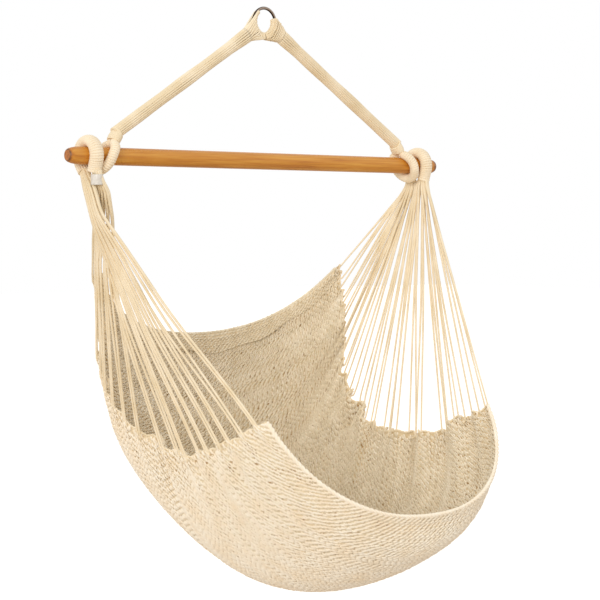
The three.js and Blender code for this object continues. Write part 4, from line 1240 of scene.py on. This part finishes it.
def neck_stops(side, index):
    """The upper ends of a cord's two strands, down to below the eye. On the left the rear bundle
    goes to the front of the bed, outside the front bundle, which goes to the back."""
    aim = 1 if index < BUNDLE else -1
    crossed = side < 0
    bundle = -aim if crossed else aim
    slot = index % BUNDLE
    end = eye_end(side, bundle)
    row = NECK_ROW_SHARES[slot] * CORD_PITCH * NECK_DRAW
    face = end[2] - bundle * row * math.tan(EYE_TURN) + NECK_INTO_EYE
    below = face - NECK_BELOW_EYE
    inward = (1 - abs(2 * (index + 0.5) / CORDS - 1)) * NECK_PINCH * bundle
    y = end[1] + row
    strands = []
    for outside in (1, -1):
        column = (NECK_COLUMN_SHARES[slot] + outside / 2) * CORD_PITCH * NECK_DRAW
        x = EYE_X + column
        shift = rng.uniform(-NECK_SCATTER, NECK_SCATTER, 2)
        if crossed and aim < 0:
            rear = y - REAR_LEAN
            stops = [(x, rear, face), (x + shift[0], rear - NECK_FORWARD + shift[1], below)]
        elif crossed:
            banded = y - BAND_FORWARD
            stops = [(x, banded, face), (x + shift[0], banded, below - BAND_LENGTH)]
        else:
            stops = [(x, y, face), (x + shift[0], y - inward + shift[1], below)]
        strands.append(np.array(stops) * np.array([side, 1, 1]))
    return strands


def left_lean(index, run, share):
    """How far a left cord stands off its straight line. Run is the distance from the eye along it."""
    order = index % BUNDLE / (BUNDLE - 1)
    passing = smooth(run / CROSSING_RISE) * smooth((CROSSING_END - run) / CROSSING_FALL)
    if index < BUNDLE:
        return BAND_BUNDLE_OUT * passing * lerp(CROSSING_LEAST_SHARE, 1, order)
    sag = smooth((run - SAG_START) / SAG_RISE) * smooth((1 - share) / SAG_FALL_SHARE)
    return REAR_BUNDLE_OUT * passing + FRONT_SAG * sag * lerp(SAG_LEAST_SHARE, 1, order)


def make_arm_cords(name, side):
    """Each cord runs from the eye, round the cloth's border at an eyelet, and back to the eye."""
    places, pulls, normals = edge_places(side)
    for index in range(CORDS):
        place, pull, normal = places[index], pulls[index], unit(normals[index])
        edgeways = np.cross(pull, normal)
        base = place - pull * SCALLOP_OUT
        apart = rng.uniform(*CORD_APART_MM[side]) * MM
        angle = np.linspace(0, math.pi, EYELET_TURN_STEPS)[:, None]
        depth = BORDER_WIDTH + EYELET_REACH * np.sin(angle)
        turn = base - pull * depth + edgeways * apart * np.cos(angle)
        stops = neck_stops(side, index)
        aside = unit(np.cross(unit(place - stops[0][-1]), ALONG_BAR))
        slack = rng.uniform(-CORD_SLACK, CORD_SLACK)
        ends = []
        for strand, face in zip(stops, (1, -1)):
            near = base + face * edgeways * apart + pull * EYELET_REACH
            line = resample([*strand, near, turn[0] if face > 0 else turn[-1]], CORD_ROUTE_STEP)
            share = np.linspace(0, 1, len(line))[:, None]
            run = run_along(line)[:, None]
            own = slack + rng.uniform(-CORD_STRAND_SLACK, CORD_STRAND_SLACK) + face * CORD_BOW[side]
            line = eased(line, CORD_EASING) + own * aside * np.sin(np.pi * share) ** 2
            if side < 0:
                line = line + left_lean(index, run, share)
            ends.append(line)
        line = resample(np.concatenate([ends[0], turn[1:-1], ends[1][::-1]]), CORD_STEP)
        from_middle = np.abs(np.linspace(-1, 1, len(line)))
        radius = lerp(*CORD_RADII_MM[side], smooth(from_middle)) * MM
        piece = new_mesh(f"doubled_cord_{name}_{index + 1:02d}",
                         *sweep(line, edgeways, radius[None], STRAND_SIDES))
        finish_piece(piece, CORD_COTTON, "seat", [f"arm_cord_{name}_{index + 1:02d}"])


# Surroundings

FLOOR_Z = -1.75
FLOOR_HALF = 30.0
FLOOR_GLOW = 0.6
WORLD_LEVEL = 0.83
KEY_AZIMUTH = -54
KEY_ELEVATION = 12
KEY_LEVEL = 0.36
KEY_SPREAD = 30


def make_floor():
    """A plain white floor well below the seat. It shows as the same white as the background."""
    corners = [(-1, -1), (1, -1), (1, 1), (-1, 1)]
    points = np.array([[x * FLOOR_HALF, y * FLOOR_HALF, FLOOR_Z] for x, y in corners])
    floor = new_mesh("studio_floor", points, [[0, 1, 2, 3]])
    material, tree, shader, _ = new_material("white_studio_floor")
    shader.inputs["Base Color"].default_value = linear("#DED3C8")
    shader.inputs["Roughness"].default_value = 0.9
    shader.inputs["Specular IOR Level"].default_value = 0.0
    seen = add_node(tree, "ShaderNodeLightPath").outputs["Is Camera Ray"]
    glow = add_node(tree, "ShaderNodeMath", {"operation": "MULTIPLY"}, i0=seen, i1=FLOOR_GLOW)
    shader.inputs["Emission Color"].default_value = (1, 1, 1, 1)
    tree.links.new(glow.outputs[0], shader.inputs["Emission Strength"])
    floor.data.materials.append(material)


def make_world():
    """Even white light. Camera, glossy and transmission rays see plain white."""
    world = bpy.data.worlds.new("studio")
    bpy.context.scene.world = world
    world.use_nodes = True
    tree = world.node_tree
    tree.nodes.clear()
    path = add_node(tree, "ShaderNodeLightPath")
    shown = add_node(tree, "ShaderNodeMath", {"operation": "MAXIMUM"}, i0=path.outputs["Is Camera Ray"],
                     i1=path.outputs["Is Glossy Ray"])
    shown = add_node(tree, "ShaderNodeMath", {"operation": "MAXIMUM"}, i0=shown.outputs[0],
                     i1=path.outputs["Is Transmission Ray"])
    strength = add_node(tree, "ShaderNodeMapRange", Value=shown.outputs[0], To_Min=WORLD_LEVEL,
                        To_Max=1.0)
    glow = add_node(tree, "ShaderNodeBackground", Color=(1, 1, 1, 1))
    tree.links.new(strength.outputs[0], glow.inputs["Strength"])
    output = add_node(tree, "ShaderNodeOutputWorld")
    tree.links.new(glow.outputs[0], output.inputs["Surface"])


def make_lamp(name, azimuth, elevation, level, spread):
    """A soft sun. Azimuth and elevation say where it stands, as in the camera's own terms."""
    lamp = bpy.data.lights.new(name, "SUN")
    lamp.energy = level * math.pi
    lamp.angle = math.radians(spread)
    piece = bpy.data.objects.new(name, lamp)
    a, e = math.radians(azimuth), math.radians(elevation)
    piece.rotation_mode = "QUATERNION"
    back = Vector((math.sin(a) * math.cos(e), -math.cos(a) * math.cos(e), math.sin(e)))
    piece.rotation_quaternion = (-back).to_track_quat("-Z", "Y")
    bpy.context.scene.collection.objects.link(piece)


# Camera: level, on the photograph's side of the chair, aimed past the bar's middle
VIEW_AZIMUTH = math.radians(-39.3)
CAMERA_DISTANCE = 4.3
CAMERA_Z = BAR_Z - 0.165
FOCAL_PIXELS = 1894
IMAGE_PIXELS = 600
BAR_COLUMN = 264.4
HORIZON_ROW = 233.9
SENSOR_MM = 36


def make_camera():
    camera = bpy.data.cameras.new("camera")
    camera.sensor_width = SENSOR_MM
    camera.lens = FOCAL_PIXELS / IMAGE_PIXELS * SENSOR_MM
    camera.shift_x = (IMAGE_PIXELS / 2 - BAR_COLUMN) / IMAGE_PIXELS
    camera.shift_y = (HORIZON_ROW - IMAGE_PIXELS / 2) / IMAGE_PIXELS
    forward = Vector((-math.sin(VIEW_AZIMUTH), math.cos(VIEW_AZIMUTH), 0))
    piece = bpy.data.objects.new("camera", camera)
    piece.location = -forward * CAMERA_DISTANCE + Vector((0, 0, CAMERA_Z))
    piece.rotation_mode = "QUATERNION"
    piece.rotation_quaternion = forward.to_track_quat("-Z", "Y")
    bpy.context.scene.collection.objects.link(piece)
    bpy.context.scene.camera = piece


# Assembly

make_camera()
make_world()
make_lamp("key", KEY_AZIMUTH, KEY_ELEVATION, KEY_LEVEL, KEY_SPREAD)
make_floor()
make_ring()
make_bar()
for side_name, side_sign in SIDES.items():
    make_leg(side_name, side_sign)
    make_bar_loop(side_name, side_sign)
    make_seizing(side_name, side_sign)
    make_eye(side_name, side_sign)
    make_arm_cords(side_name, side_sign)
make_band("left", -1)
ground_cloth = make_bed_ground()
on_the_cloth = make_weave() + make_selvages() + [make_front_edge()] + make_hem()

bpy.context.scene.view_settings.view_transform = "Standard"
